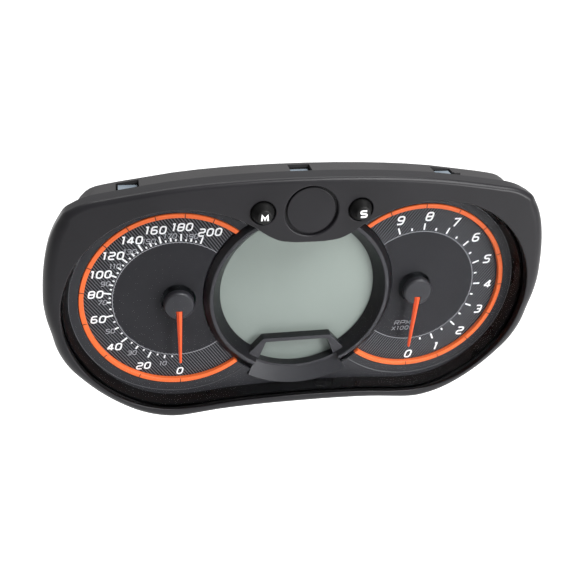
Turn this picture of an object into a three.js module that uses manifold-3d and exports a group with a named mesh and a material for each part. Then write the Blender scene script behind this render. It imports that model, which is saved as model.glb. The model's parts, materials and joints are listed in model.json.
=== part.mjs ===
// Twin-dial instrument cluster for a snowmobile or motorcycle dash.
// Millimetres. +X is the rider's right, +Z is up the dial, and the face looks along -Y.
// Inside the cluster group, y = 0 is the plane of the orange dial rings. The group is moved
// back so that the rear mounting pad lies in the plane y = 0 of the whole part.
import * as THREE from "three";
import { mergeVertices } from "three/addons/utils/BufferGeometryUtils.js";
import Module from "manifold-3d";

const wasm = await Module();
wasm.setup();

// ---- driving dimensions ----------------------------------------------------------------
const BODY_WIDTH = 288;
const BODY_TOP = 80; // dial centre line up to the top edge
const BODY_BOTTOM = 73.5; // dial centre line down to the lowest edge
const MOUNT_DEPTH = 42; // ring plane back to the mounting pad
const SIDE_REACH = 73; // dial centre out to the side edge
const DIAL_X = BODY_WIDTH / 2 - SIDE_REACH;

const GAP = 0.3; // clearance between touching pieces
const WALL = 1.8; // bezel skirt and case wall
const CASE_INSET = 1.2; // case wall inside the bezel's outline
const REAR_WALL = 2.2;

const LIP_FRONT = -11; // front of the lower lip
const FACE_TILT = 0.04; // how far the bezel face leans out for each millimetre of height
const FACE_WALL = 1.7; // thickness of the bezel face
const RETURN_WALL = 1.2; // wall that runs back from the opening edge
const FACE_ROUND = 3.5; // rounding of the bezel's outer edge
const SKIRT_END = -5; // rear edge of the bezel skirt

const OPENING_RADIUS = 64.3; // bezel opening, about each dial centre

const PLUG_HOLE_RADIUS = 14.6;
const PLUG_BROW = 4.4; // face above the plug hole
const PLUG_SILL = 4; // face below the plug hole, down to the opening
const PLUG_Z = BODY_TOP - PLUG_BROW - PLUG_HOLE_RADIUS; // plug and buttons, above the dials
const SWOOP_DEPTH = PLUG_HOLE_RADIUS + PLUG_SILL; // brow edge below the plug centre
const PLUG_GAP = 1.3; // groove round the plug
const PLUG_FLANGE = 1.6; // flange behind the face, beyond its hole
const BUTTON_HOLE_RADIUS = 6.8;
const BUTTON_WEB = 5.3; // face between the plug hole and a button hole
const BUTTON_X = PLUG_HOLE_RADIUS + BUTTON_WEB + BUTTON_HOLE_RADIUS;
const BUTTON_GAP = 0.7; // clearance round each button
const BUTTON_TIP_RADIUS = 4;
const BUTTON_PROUD = 6;
const BUTTON_FLANGE = 0.9; // flange behind the face, beyond its hole
const BUTTON_TRAVEL = 1.2;

const LENS_FRONT = -9;
const LENS_WALL = 1.7;
const LENS_FLANGE_BACK = -2.6;
const LENS_FLANGE = 2;
const SNAP_WIDTH = 10;
const TAB_THICK = 1.8;
const GASKET_WIDTH = 1.4;
const GASKET_THICK = 0.9; // room for the gasket, with its clearance in front
const LEDGE_WIDTH = 1.7; // shelf inside the case wall that carries the gasket
const LEDGE_THICK = 2;
const FLOOR_SHARE = 0.948; // lower edge at the middle, as a share of the lowest edge
const FLOOR_ROOM = 1.28; // room between the opening's floor and the ledge behind it
const LOBE_ROOM = 1.6; // room between the bottom of each lobe and the ledge behind it
const OPENING_DROP = BODY_BOTTOM - OPENING_RADIUS - CASE_INSET - WALL - LEDGE_WIDTH - LOBE_ROOM;
const OPENING_FLOOR = CASE_INSET + WALL + LEDGE_WIDTH + FLOOR_ROOM - FLOOR_SHARE * BODY_BOTTOM;

const RING_RADIUS = 54;
const RING_WIDTH = 2.7;
const RING_OVERRUN = 2; // ring arc past its meeting with the display surround, in degrees
const PLATE_DEPTH = 3; // dial plate behind the ring plane
const PLATE_THICK = 1;
const GUIDE_THICK = 2.3;
const MASK_THICK = 2;

const POD_OUTER = 56.6; // display surround
const POD_SLOPE = 3.2; // sloped flank outside the lip
const POD_LIP = 2.1; // flat front of the surround
const POD_CONE = 4.9; // inner cone, from the lip in to the window
const POD_LIP_OUTER = POD_OUTER - POD_SLOPE;
const POD_LIP_INNER = POD_LIP_OUTER - POD_LIP;
const POD_WINDOW = POD_LIP_INNER - POD_CONE;
const POD_FRONT = -1;
const POD_BACK = 8.3;
const APRON_REACH = 3.9; // apron beyond the surround
const APRON_RADIUS = POD_OUTER + APRON_REACH;
const APRON_HALF_ANGLE = 30;
const APRON_FRONT = -2;
const RIDGE_Z = -30;
const RIDGE_WIDTH = 2.4;
const RIDGE_FRONT = 2.3;
const RIDGE_HALF_WIDTH = 20.8;
const RIDGE_SIDE = 1.8; // ridge's side wall beside the lower window
const FOOT_WALL = 6.6; // surround outside the lower window
const LOWER_WINDOW_RADIUS = POD_OUTER - FOOT_WALL;

const GLASS_SEAT = 3.6; // glass behind the surround, beyond the window's sides
const GLASS_FOOT = 2.5; // glass beyond the lower window
const GLASS_HALF_WIDTH = POD_WINDOW + GLASS_SEAT;
const GLASS_HALF_HEIGHT = LOWER_WINDOW_RADIUS + GLASS_FOOT;
const GLASS_THICK = 2.2;
const BOARD_FRONT = 15;
const BOARD_THICK = 1.6;

const HUB_RADIUS = 8.8;
const HUB_FRONT = -4.9;
const HUB_BACK = -0.6;
const CAP_WALL = 1.4;
const HUB_RECESS = 10; // round recess in the dial plate under the hub cap
const NEEDLE_REACH = 38.3;
const NEEDLE_ROOT = 3.2; // start of the blade from the shaft's axis
const NEEDLE_ROOT_WIDTH = 3.2;
const NEEDLE_TIP_WIDTH = 1.4;
const NEEDLE_FRONT = -5.7;
const NEEDLE_THICK = 1.8;
const RIGHT_REST = -2.3; // the right pointer rests just short of its zero, in degrees
const SHAFT_RADIUS = 1;

const RIM_BACK = 9.5; // rear face of the case's full-width rim
const TUB_INSET = 9; // case tub inside the rim
const TUB_BACK = 20; // rear face of the case tub
const BOX_HALF_WIDTH = 80; // raised box on the back of the tub
const BOX_TOP = 42;
const BOX_BOTTOM = -38;
const BOX_BACK = 30;
const PAD_HALF_WIDTH = 22;
const PAD_HALF_HEIGHT = 14;
const MOUNT_BOSS_RADIUS = 7;
const INSERT_RADIUS = 3.6;
const INSERT_BORE = 2.1;
const INSERT_DEPTH = 9;

const SCREW_RADIUS = 1.7;
const SCREW_HEAD_RADIUS = 3.6;
const SCREW_HEAD = 2.7;
const COLUMN_RADIUS = 5;

const LOOP_STEPS = 68; // points round each long outline
const ROUND = 28; // sides of a middling circle
const LARGE_ROUND = 48;
const SMALL_ROUND = 12;

// ---- materials -------------------------------------------------------------------------
function material(color, roughness, metalness = 0) {
  return new THREE.MeshStandardMaterial({ color, roughness, metalness });
}

const bezelBlack = () => material(0x232226, 0.55);
const glossBlack = () => material(0x0a0a0b, 0.12);
const maskGrey = () => material(0x37373b, 0.6);
const dialGrey = () => material(0x3c3b40, 0.65);
const orange = () => material(0xe8703c, 0.45);
const needleOrange = () => material(0xf0693c, 0.4);
const hubBlack = () => material(0x2a2a2d, 0.4);
const lcdGrey = () => material(0x949d96, 0.25);
const caseBlack = () => material(0x2c2b2f, 0.65);
const rubber = () => material(0x141414, 0.8);
const boardGreen = () => material(0x17492c, 0.55);
const whitePlastic = () => material(0xe4e4dc, 0.5);
const clear = () => {
  const made = material(0xdfe6ec, 0.05);
  made.transparent = true;
  made.opacity = 0.25;
  return made;
};
const steel = () => material(0xb4b6b8, 0.35, 0.9);
const brass = () => material(0xc2a050, 0.35, 0.9);

// ---- solids ----------------------------------------------------------------------------
function solid(geometry) {
  const plain = geometry.clone();
  plain.deleteAttribute("normal");
  plain.deleteAttribute("uv");
  const merged = mergeVertices(plain, 1e-4);
  return new wasm.Manifold(
    new wasm.Mesh({
      numProp: 3,
      vertProperties: new Float32Array(merged.attributes.position.array),
      triVerts: new Uint32Array(merged.index.array),
    }),
  );
}

function join(first, ...others) {
  return others.reduce((sum, other) => sum.add(other), first);
}

function cut(first, ...others) {
  return others.reduce((rest, other) => rest.subtract(other), first);
}

function prismGeometry(points, front, back, extrude = {}) {
  const depth = back - front;
  const geometry = new THREE.ExtrudeGeometry(new THREE.Shape(points), {
    depth,
    bevelEnabled: false,
    ...extrude,
  });
  return geometry.rotateX(Math.PI / 2).translate(0, back, 0);
}

// A flat outline in X and Z, carried from y = front to y = back.
function prism(points, front, back) {
  return solid(prismGeometry(points, front, back));
}

function box(x, z, width, height, front, back) {
  const geometry = new THREE.BoxGeometry(width, back - front, height);
  return solid(geometry.translate(x, (front + back) / 2, z));
}

function rod(radius, front, back, x = 0, z = 0, sides = SMALL_ROUND) {
  const geometry = new THREE.CylinderGeometry(radius, radius, back - front, sides);
  return solid(geometry.translate(x, (front + back) / 2, z));
}

// A profile of [radius, y] pairs, turned about the Y axis through (x, z).
function turned(profile, x = 0, z = 0, sides = ROUND) {
  const points = profile.map(([r, y]) => new THREE.Vector2(r, y));
  return solid(new THREE.LatheGeometry(points, sides).translate(x, 0, z));
}

function tube(outer, inner, front, back, x = 0, z = 0, sides = ROUND) {
  const profile = [
    [inner, front],
    [outer, front],
    [outer, back],
    [inner, back],
    [inner, front],
  ];
  return turned(profile, x, z, sides);
}

// The bezel's face leans: each point moves forward in proportion to its height.
function lean(geometry) {
  const shear = new THREE.Matrix4();
  shear.makeShear(0, 0, 0, 0, 0, -FACE_TILT);
  return geometry.applyMatrix4(shear).translate(0, -FACE_TILT * BODY_BOTTOM, 0);
}

function faceFront(z) {
  return LIP_FRONT - FACE_TILT * (z + BODY_BOTTOM);
}

// ---- outlines, as loops of points that run counter-clockwise seen from the front -------
function mirrored(right) {
  const left = right
    .slice(1, -1)
    .reverse()
    .map(([x, z]) => [-x, z]);
  return [...right, ...left].map(([x, z]) => new THREE.Vector2(x, z));
}

function smoothLoop(right, steps = LOOP_STEPS) {
  const knots = mirrored(right).map((p) => new THREE.Vector3(p.x, p.y, 0));
  const curve = new THREE.CatmullRomCurve3(knots, true, "centripetal");
  return curve
    .getPoints(steps)
    .slice(0, -1)
    .map((p) => new THREE.Vector2(p.x, p.y));
}

function distanceToLoop(point, loop) {
  const segment = new THREE.Line3();
  const nearest = new THREE.Vector3();
  const target = new THREE.Vector3(point.x, point.y, 0);
  let least = Infinity;
  loop.forEach((a, i) => {
    const b = loop[(i + 1) % loop.length];
    segment.start.set(a.x, a.y, 0);
    segment.end.set(b.x, b.y, 0);
    segment.closestPointToPoint(target, true, nearest);
    least = Math.min(least, nearest.distanceTo(target));
  });
  return least;
}

// The outward normal of the edge from a to b.
function edgeNormal(a, b) {
  return new THREE.Vector2(b.y - a.y, a.x - b.x).normalize();
}

// The loop moved out by distance, or in where distance is negative.
function offset(loop, distance) {
  const moved = loop.map((point, i) => {
    const before = edgeNormal(loop[(i + loop.length - 1) % loop.length], point);
    const after = edgeNormal(point, loop[(i + 1) % loop.length]);
    const reach = distance / (1 + before.dot(after));
    return before.add(after).multiplyScalar(reach).add(point);
  });
  const least = Math.abs(distance) * 0.998;
  const clear = moved.filter((point) => distanceToLoop(point, loop) >= least);
  return clear.filter((point, i) => point.distanceTo(clear[(i + 1) % clear.length]) > 0.3);
}

function polar(radius, degrees, x = 0, z = 0) {
  const angle = THREE.MathUtils.degToRad(degrees);
  return [x + radius * Math.cos(angle), z + radius * Math.sin(angle)];
}

// Outlines of the body. The first number is 0 at the middle, 1 at the dial centre and 2 at the
// side edge; the second is a share of the top or bottom height.
const bezelCorner = [
  [1.951, 0.4725],
  [1.892, 0.641],
  [1.819, 0.757],
  [1.783, 0.8],
  [1.729, 0.829],
  [1.655, 0.86],
];
const caseCorner = [
  [1.931, 0.46],
  [1.832, 0.63],
  [1.728, 0.76],
  [1.665, 0.83],
  [1.605, 0.866],
  [1.527, 0.885],
];

function outward(share) {
  return share < 1 ? share * DIAL_X : DIAL_X + (share - 1) * SIDE_REACH;
}

function bodyOutline(corner) {
  const lower = [
    [0, FLOOR_SHARE],
    [0.608, 0.962],
    [0.913, 0.992],
    [1.063, 1],
    [1.285, 0.948],
    [1.507, 0.823],
    [1.729, 0.624],
    [1.913, 0.367],
    [1.966, 0.147],
  ];
  const upper = [
    [2, 0.0675],
    [1.988, 0.27],
    ...corner,
    [1.359, 0.911],
    [0.989, 0.959],
    [0.685, 0.982],
    [0.38, 0.995],
    [0, 1],
  ];
  return smoothLoop([
    ...lower.map(([share, z]) => [outward(share), -z * BODY_BOTTOM]),
    ...upper.map(([share, z]) => [outward(share), z * BODY_TOP]),
  ]);
}

// The lobe of the opening about the right dial centre, from its bottom to its top.
function lobe(lastDegrees) {
  const points = [];
  for (let degrees = -90; degrees <= lastDegrees; degrees += 15) {
    const low = Math.max(0, -Math.sin(THREE.MathUtils.degToRad(degrees)));
    points.push(polar(OPENING_RADIUS + OPENING_DROP * low ** 4, degrees, DIAL_X));
  }
  return points;
}

// Bezel opening: two lobes, a nearly straight floor and the brow's swoop below the plug.
function openingOutline() {
  const swoop = [
    [1.82, 0],
    [1.21, 0.4],
    [0.91, 0.71],
    [0.61, 0.93],
    [0, 1],
  ];
  return smoothLoop([
    [0, OPENING_FLOOR],
    [DIAL_X * 0.56, OPENING_FLOOR - 1.2],
    ...lobe(90),
    ...swoop.map(([x, drop]) => [x * BUTTON_X, PLUG_Z - drop * SWOOP_DEPTH]),
  ]);
}

// Dial mask: as the opening, but straight across behind the brow.
function maskOutline() {
  return smoothLoop([
    [0, OPENING_FLOOR],
    [DIAL_X * 0.56, OPENING_FLOOR - 1.2],
    ...lobe(90),
    [DIAL_X * 0.7, OPENING_RADIUS - 3],
    [0, OPENING_RADIUS - 3],
  ]);
}

const body = bodyOutline(bezelCorner);
const caseWall = offset(bodyOutline(caseCorner), -CASE_INSET);
const opening = openingOutline();

// The bezel opening is drawn at its edge; the lens, shield and mask nest inside each other.
const lensOutline = offset(opening, 1.2);
const shieldOutline = offset(opening, -GAP);

// ---- pieces of the front ---------------------------------------------------------------
function rearHalfSpace(from) {
  return box(0, 0, 2 * BODY_WIDTH, 2 * BODY_WIDTH, from, from + 4 * MOUNT_DEPTH);
}

function leaningPrism(points, front, round) {
  const bevel = {
    bevelEnabled: round > 0,
    bevelThickness: round,
    bevelSize: round,
    bevelOffset: -round,
    bevelSegments: 3,
  };
  return solid(lean(prismGeometry(points, front + round, MOUNT_DEPTH, bevel)));
}

const columnPlaces = [
  [-DIAL_X - 49.5, 52.5],
  [-47, 68],
  [47, 68],
  [DIAL_X + 49.5, 52.5],
];

const faceBack = LIP_FRONT + FACE_WALL;

// Bezel: a leaning face with a skirt, hollow behind, with a return wall round the opening.
function frontBezel() {
  const shell = leaningPrism(body, LIP_FRONT, FACE_ROUND);
  const hollow = leaningPrism(offset(body, -WALL), faceBack, 0);
  const returnWall = prism(offset(opening, RETURN_WALL), -MOUNT_DEPTH, faceBack);
  const bosses = columnPlaces.map(([x, z]) => rod(COLUMN_RADIUS - 1, -MOUNT_DEPTH, SKIRT_END, x, z));
  const behind = cut(hollow, returnWall, ...bosses);
  const pilots = columnPlaces.map(([x, z]) => rod(SCREW_RADIUS + GAP, faceFront(z) + 3, 0, x, z));
  const holes = [-BUTTON_X, BUTTON_X].map((x) =>
    rod(BUTTON_HOLE_RADIUS, -MOUNT_DEPTH, 0, x, PLUG_Z, ROUND),
  );
  const plugHole = rod(PLUG_HOLE_RADIUS, -MOUNT_DEPTH, 0, 0, PLUG_Z, ROUND);
  const window = prism(opening, -MOUNT_DEPTH, 0);
  return cut(shell, behind, window, plugHole, ...holes, ...pilots, rearHalfSpace(SKIRT_END));
}

// Snap tabs of the lens, in windows along the top of the case.
const snapPlaces = [-96, -4, 78];

function topEdgeAt(x) {
  const near = caseWall.filter((p) => p.y > 0);
  const nearest = near.reduce((best, p) => (Math.abs(p.x - x) < Math.abs(best.x - x) ? p : best));
  return nearest.y;
}

const ribbonZ = PLUG_Z + 3.5;
const flangeInset = WALL + GAP;
const gasketBack = LENS_FLANGE_BACK + GASKET_THICK;
const ledgeFront = gasketBack + GAP;
const ledgeBack = ledgeFront + LEDGE_THICK;

function clearLens() {
  const cup = prism(lensOutline, LENS_FRONT, LENS_FLANGE_BACK);
  const flange = prism(offset(caseWall, -flangeInset), LENS_FLANGE_BACK - LENS_FLANGE, LENS_FLANGE_BACK);
  const hollow = prism(opening, LENS_FRONT + LENS_WALL, 0);
  const holes = columnPlaces.map(([x, z]) =>
    rod(SCREW_RADIUS + 2 * GAP, LENS_FRONT, 0, x, z),
  );
  const ribbonSlot = box(0, ribbonZ, 22, 4, LENS_FRONT, 0);
  const tabs = snapPlaces.map((x) => {
    const middle = topEdgeAt(x) - flangeInset - TAB_THICK / 2 - 0.4;
    return box(x, middle, SNAP_WIDTH, TAB_THICK, LENS_FLANGE_BACK - 1, 6);
  });
  return join(cut(join(cup, flange), hollow, ribbonSlot, ...holes), ...tabs);
}

// The room that each tab needs through the gasket and the case, down to tabRoomInset.
const tabRoomInset = flangeInset + TAB_THICK + 1;

function tabRoom(front, back, grow) {
  return snapPlaces.map((x) =>
    box(x, topEdgeAt(x) - tabRoomInset / 2 + 2, SNAP_WIDTH + grow, tabRoomInset + 4, front, back),
  );
}

// Stretches that carry the gasket and its ledge round the inside of the tabs.
function tabBypass(front, back, width) {
  return snapPlaces.map((x) =>
    box(x, topEdgeAt(x) - tabRoomInset - width / 2 + 2, SNAP_WIDTH + 9, width + 4, front, back),
  );
}

function lensGasket() {
  const front = LENS_FLANGE_BACK + GAP;
  const back = gasketBack;
  const disc = prism(offset(caseWall, -flangeInset), front, back);
  const middle = prism(offset(caseWall, -flangeInset - GASKET_WIDTH), -MOUNT_DEPTH, MOUNT_DEPTH);
  const ring = join(cut(disc, middle), ...tabBypass(front, back, GASKET_WIDTH));
  return cut(ring.intersect(disc), ...tabRoom(-MOUNT_DEPTH, MOUNT_DEPTH, 1.6));
}

function glareShield() {
  const front = LENS_FRONT + LENS_WALL + 0.4;
  const wall = prism(shieldOutline, front, -GAP);
  const podTop = rod(POD_OUTER + GAP, POD_FRONT - GAP, MOUNT_DEPTH, 0, 0, LARGE_ROUND);
  return cut(wall, prism(offset(opening, -1.8), -MOUNT_DEPTH, MOUNT_DEPTH), podTop);
}

function dialMask() {
  const ringHole = RING_RADIUS + RING_WIDTH / 2 + GAP;
  const dials = [-DIAL_X, DIAL_X].map((x) => rod(ringHole, -1, MASK_THICK + 1, x, 0, LARGE_ROUND));
  const pod = rod(POD_OUTER + GAP, -1, MASK_THICK + 1, 0, 0, LARGE_ROUND);
  const apron = prism(apronSector(APRON_RADIUS + GAP, GAP), -1, MASK_THICK + 1);
  return cut(prism(offset(maskOutline(), -GAP), 0, MASK_THICK), ...dials, pod, apron);
}

// ---- display ---------------------------------------------------------------------------
// A sector about straight down, with a margin added to both sides.
function apronSector(radius, margin) {
  const points = [new THREE.Vector2(0, -20)];
  const extra = THREE.MathUtils.radToDeg(margin / radius);
  const half = APRON_HALF_ANGLE + extra;
  for (let i = 0; i <= 12; i += 1) {
    const degrees = -90 - half + (2 * half * i) / 12;
    points.push(new THREE.Vector2(...polar(radius, degrees)));
  }
  return points;
}

function lowerWindow() {
  const top = RIDGE_Z - RIDGE_WIDTH;
  const half = RIDGE_HALF_WIDTH - RIDGE_SIDE;
  const points = [new THREE.Vector2(half, top), new THREE.Vector2(-half, top)];
  for (let degrees = -118; degrees <= -62; degrees += 8) {
    points.push(new THREE.Vector2(...polar(LOWER_WINDOW_RADIUS, degrees)));
  }
  return points;
}

function ridgeRegion() {
  return mirrored([
    [0, 4.6 - POD_OUTER],
    polar(POD_OUTER - 5.2, -76.5),
    polar(POD_OUTER - 0.8, -53.7),
    polar(POD_WINDOW + 0.8, -53.7),
    [RIDGE_HALF_WIDTH, RIDGE_Z],
    [0, RIDGE_Z],
  ]);
}

// Display surround: a conical ring, a ridge across its foot and a sloping apron below, which
// takes the place of the ring's lip.
function displayBezel() {
  const ring = turned(
    [
      [POD_WINDOW, POD_BACK],
      [POD_LIP_INNER, POD_FRONT],
      [POD_LIP_OUTER, POD_FRONT],
      [POD_OUTER, POD_FRONT + POD_SLOPE],
      [POD_OUTER, POD_BACK],
      [POD_WINDOW, POD_BACK],
    ],
    0,
    0,
    LARGE_ROUND,
  );
  const slope = turned(
    [
      [LOWER_WINDOW_RADIUS, PLATE_DEPTH],
      [APRON_RADIUS, APRON_FRONT],
      [APRON_RADIUS, PLATE_DEPTH],
      [POD_LIP_OUTER, POD_BACK],
      [LOWER_WINDOW_RADIUS, POD_BACK],
      [LOWER_WINDOW_RADIUS, PLATE_DEPTH],
    ],
    0,
    0,
    LARGE_ROUND,
  );
  const sector = prism(apronSector(APRON_RADIUS + GAP, 0), -MOUNT_DEPTH, MOUNT_DEPTH);
  const foot = tube(APRON_RADIUS, LOWER_WINDOW_RADIUS, -MOUNT_DEPTH, MOUNT_DEPTH, 0, 0, LARGE_ROUND);
  const apron = slope.intersect(sector);
  const openRing = cut(ring, foot.intersect(sector));
  const ridge = prism(ridgeRegion(), RIDGE_FRONT, POD_BACK);
  const window = prism(lowerWindow(), -MOUNT_DEPTH, MOUNT_DEPTH);
  const ridgeRoom = cut(ridge, foot.intersect(sector));
  return cut(join(openRing, ridgeRoom, apron), window);
}

const glassFront = POD_BACK + GAP;
const glassBack = glassFront + GLASS_THICK;
const stripHeight = 2.5;

function displayGlass() {
  return box(0, -1, 2 * GLASS_HALF_WIDTH, 2 * GLASS_HALF_HEIGHT - 2, glassFront, glassBack);
}

function displayFrame() {
  const height = 2 * (GLASS_HALF_HEIGHT - stripHeight - 2.4);
  const outer = box(0, -1, 2 * GLASS_HALF_WIDTH + 2, height, glassBack + GAP, BOARD_FRONT - GAP);
  return cut(outer, box(0, -1, 2 * GLASS_HALF_WIDTH - 4, height - 5, -MOUNT_DEPTH, MOUNT_DEPTH));
}

function displayDiffuser() {
  const height = 2 * (GLASS_HALF_HEIGHT - stripHeight - 2.4) - 5 - 2 * GAP;
  const width = 2 * GLASS_HALF_WIDTH - 4 - 2 * GAP;
  return box(0, -1, width, height, glassBack + GAP, BOARD_FRONT - GAP);
}

function contactStrip(sign) {
  const z = -1 + sign * (GLASS_HALF_HEIGHT - 2.6);
  return box(0, z, 1.7 * GLASS_HALF_WIDTH, stripHeight, glassBack + GAP, BOARD_FRONT - GAP);
}

// ---- one dial, drawn about its own centre ----------------------------------------------
// side is -1 for the left dial and 1 for the right one; the display lies towards -side.
function podRoom(side, radius) {
  return rod(radius, -MOUNT_DEPTH, MOUNT_DEPTH, -side * DIAL_X, 0, LARGE_ROUND);
}

function dialPlate(side) {
  const radius = RING_RADIUS + RING_WIDTH / 2 + 1.6;
  const disc = rod(radius, PLATE_DEPTH, PLATE_DEPTH + PLATE_THICK, 0, 0, LARGE_ROUND);
  const hole = rod(HUB_RECESS, 0, MOUNT_DEPTH, 0, 0, ROUND);
  return cut(disc, hole, podRoom(side, POD_OUTER + GAP));
}

// The ring stops where it meets the display surround. Its arc is in degrees from six o'clock,
// round the outer side.
const meetCosine = (DIAL_X ** 2 + RING_RADIUS ** 2 - POD_OUTER ** 2) / (2 * DIAL_X * RING_RADIUS);
const meetAngle = THREE.MathUtils.radToDeg(Math.acos(meetCosine));
const ringStart = meetAngle - 90 - RING_OVERRUN;
const ringEnd = 270 - meetAngle + RING_OVERRUN;

function dialRing(side) {
  const points = [];
  const steps = 40;
  const edge = (radius, i) => {
    const degrees = ringStart + ((ringEnd - ringStart) * i) / steps;
    return new THREE.Vector2(...polar(radius, -90 + side * degrees));
  };
  for (let i = 0; i <= steps; i += 1) {
    points.push(edge(RING_RADIUS + RING_WIDTH / 2, i));
  }
  for (let i = steps; i >= 0; i -= 1) {
    points.push(edge(RING_RADIUS - RING_WIDTH / 2, i));
  }
  return cut(prism(points, 0, PLATE_DEPTH - GAP), podRoom(side, POD_OUTER + GAP));
}

function lightGuide(side) {
  const front = PLATE_DEPTH + PLATE_THICK + GAP;
  const disc = rod(RING_RADIUS - 4, front, front + GUIDE_THICK, 0, 0, ROUND);
  return cut(disc, rod(3, 0, MOUNT_DEPTH), podRoom(side, POD_OUTER + 2 * GAP));
}

const motorFront = PLATE_DEPTH + PLATE_THICK + GUIDE_THICK + 2 * GAP;

function gaugeMotor(side) {
  const centre = side * 1.5;
  const can = box(centre, 0, 22, 30, motorFront, BOARD_FRONT - GAP);
  return cut(can, rod(SHAFT_RADIUS + GAP, 0, BOARD_FRONT - 3));
}

function pointerShaft() {
  return rod(SHAFT_RADIUS, HUB_FRONT + 1.6, BOARD_FRONT - 3 - GAP);
}

function needleOutline(grow) {
  const root = NEEDLE_ROOT_WIDTH / 2 + grow;
  const tip = NEEDLE_TIP_WIDTH / 2 + grow;
  return [
    new THREE.Vector2(-root, grow - NEEDLE_ROOT),
    new THREE.Vector2(-tip, -NEEDLE_REACH - grow),
    new THREE.Vector2(tip, -NEEDLE_REACH - grow),
    new THREE.Vector2(root, grow - NEEDLE_ROOT),
  ];
}

// The pointer: a blade that stands on a carrier disc, which is pressed on the shaft.
function pointer() {
  const back = NEEDLE_FRONT + NEEDLE_THICK;
  const blade = prism(needleOutline(0), NEEDLE_FRONT, back);
  const foot = box(0, -4.4, NEEDLE_ROOT_WIDTH - 0.4, 2.4, back - 0.5, HUB_BACK - 1);
  const disc = rod(5.6, HUB_FRONT + 2, HUB_BACK - 1);
  return cut(join(blade, foot, disc), rod(SHAFT_RADIUS + GAP, NEEDLE_FRONT, 1));
}

// The cap clips over the carrier disc, with a slot for the blade.
function hubCap() {
  const cap = turned([
    [0, HUB_FRONT],
    [HUB_RADIUS - 0.9, HUB_FRONT],
    [HUB_RADIUS, HUB_FRONT + 0.9],
    [HUB_RADIUS, HUB_BACK],
    [HUB_RADIUS - CAP_WALL, HUB_BACK],
    [HUB_RADIUS - CAP_WALL, HUB_FRONT + CAP_WALL],
    [0, HUB_FRONT + CAP_WALL],
  ]);
  const slotBack = Math.max(NEEDLE_FRONT + NEEDLE_THICK, HUB_FRONT + CAP_WALL) + GAP;
  return cut(cap, prism(needleOutline(GAP), NEEDLE_FRONT - GAP, slotBack));
}

// ---- buttons, switches and plug --------------------------------------------------------
const flangeFoot = PLUG_Z - PLUG_HOLE_RADIUS - PLUG_FLANGE;
const plateBehindFace = faceFront(flangeFoot) + FACE_WALL + GAP;
const buttonFlangeBack = plateBehindFace + 1.3;
const buttonStemBack = buttonFlangeBack + 0.6;
const switchTip = buttonStemBack + BUTTON_TRAVEL + GAP;
const switchBoardFront = switchTip + 3.3;

function buttonCap() {
  const face = faceFront(PLUG_Z);
  const radius = BUTTON_HOLE_RADIUS - BUTTON_GAP;
  return turned(
    [
      [0, face - BUTTON_PROUD],
      [BUTTON_TIP_RADIUS - 0.6, face - BUTTON_PROUD],
      [BUTTON_TIP_RADIUS, face - BUTTON_PROUD + 0.5],
      [radius - 0.3, face - 0.4],
      [radius, face + 0.6],
      [radius, plateBehindFace],
      [BUTTON_HOLE_RADIUS + BUTTON_FLANGE, plateBehindFace],
      [BUTTON_HOLE_RADIUS + BUTTON_FLANGE, buttonFlangeBack],
      [2.5, buttonFlangeBack],
      [2.5, buttonStemBack],
      [0, buttonStemBack],
    ],
    0,
    0,
    24,
  );
}

function tactSwitch() {
  const can = box(0, 0, 6, 6, switchTip + 1.4, switchBoardFront - GAP);
  return join(can, rod(1.7, switchTip, switchTip + 2));
}

function switchBoard() {
  const width = 2 * (BUTTON_X + 6.5);
  return box(0, PLUG_Z + 3.5, width, 14, switchBoardFront, switchBoardFront + 1);
}

function switchRibbon() {
  return box(0, ribbonZ, 18, 0.8, switchBoardFront + 1 + GAP, BOARD_FRONT - GAP);
}

function centrePlug() {
  const front = faceFront(PLUG_Z) + 0.3;
  return turned([
    [0, front],
    [PLUG_HOLE_RADIUS - PLUG_GAP - 0.6, front],
    [PLUG_HOLE_RADIUS - PLUG_GAP, front + 0.6],
    [PLUG_HOLE_RADIUS - PLUG_GAP, plateBehindFace],
    [PLUG_HOLE_RADIUS + PLUG_FLANGE - GAP, plateBehindFace],
    [PLUG_HOLE_RADIUS + PLUG_FLANGE - GAP, plateBehindFace + 1.2],
    [0, plateBehindFace + 1.2],
  ]);
}

// ---- board and case --------------------------------------------------------------------
const boardScrewPlaces = [
  [-DIAL_X - 37, -20],
  [-DIAL_X - 19, 40],
  [DIAL_X + 19, 40],
  [DIAL_X + 37, -20],
];

function circuitBoard() {
  const outline = mirrored([
    [0, -56],
    [50, -56],
    [DIAL_X + 25, -50],
    [DIAL_X + 46, -28],
    [DIAL_X + 53, 8],
    [DIAL_X + 41, 42],
    [36, PLUG_Z],
    [16, ribbonZ + 2],
    [0, ribbonZ + 2],
  ]);
  const back = BOARD_FRONT + BOARD_THICK;
  const holes = boardScrewPlaces.map(([x, z]) => rod(1.9, 0, MOUNT_DEPTH, x, z));
  return cut(prism(outline, BOARD_FRONT, back), ...holes);
}

function boardScrew() {
  const head = rod(2.9, BOARD_FRONT - GAP - 1.8, BOARD_FRONT - GAP);
  return join(head, rod(1.4, BOARD_FRONT - 1, TUB_BACK - 1));
}

const headSeat = 3; // bottom of the counterbore for the case screws
const mountBossPlaces = [
  [-DIAL_X - 33, 26],
  [-60, -50],
  [60, -50],
  [DIAL_X + 33, 26],
];
const connectorX = 54;
const connectorZ = -14;
const CONNECTOR_WIDTH = 40;
const CONNECTOR_HEIGHT = 18;
const connectorBack = MOUNT_DEPTH - 1;
const ventX = -46;
const ventZ = 14;

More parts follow.
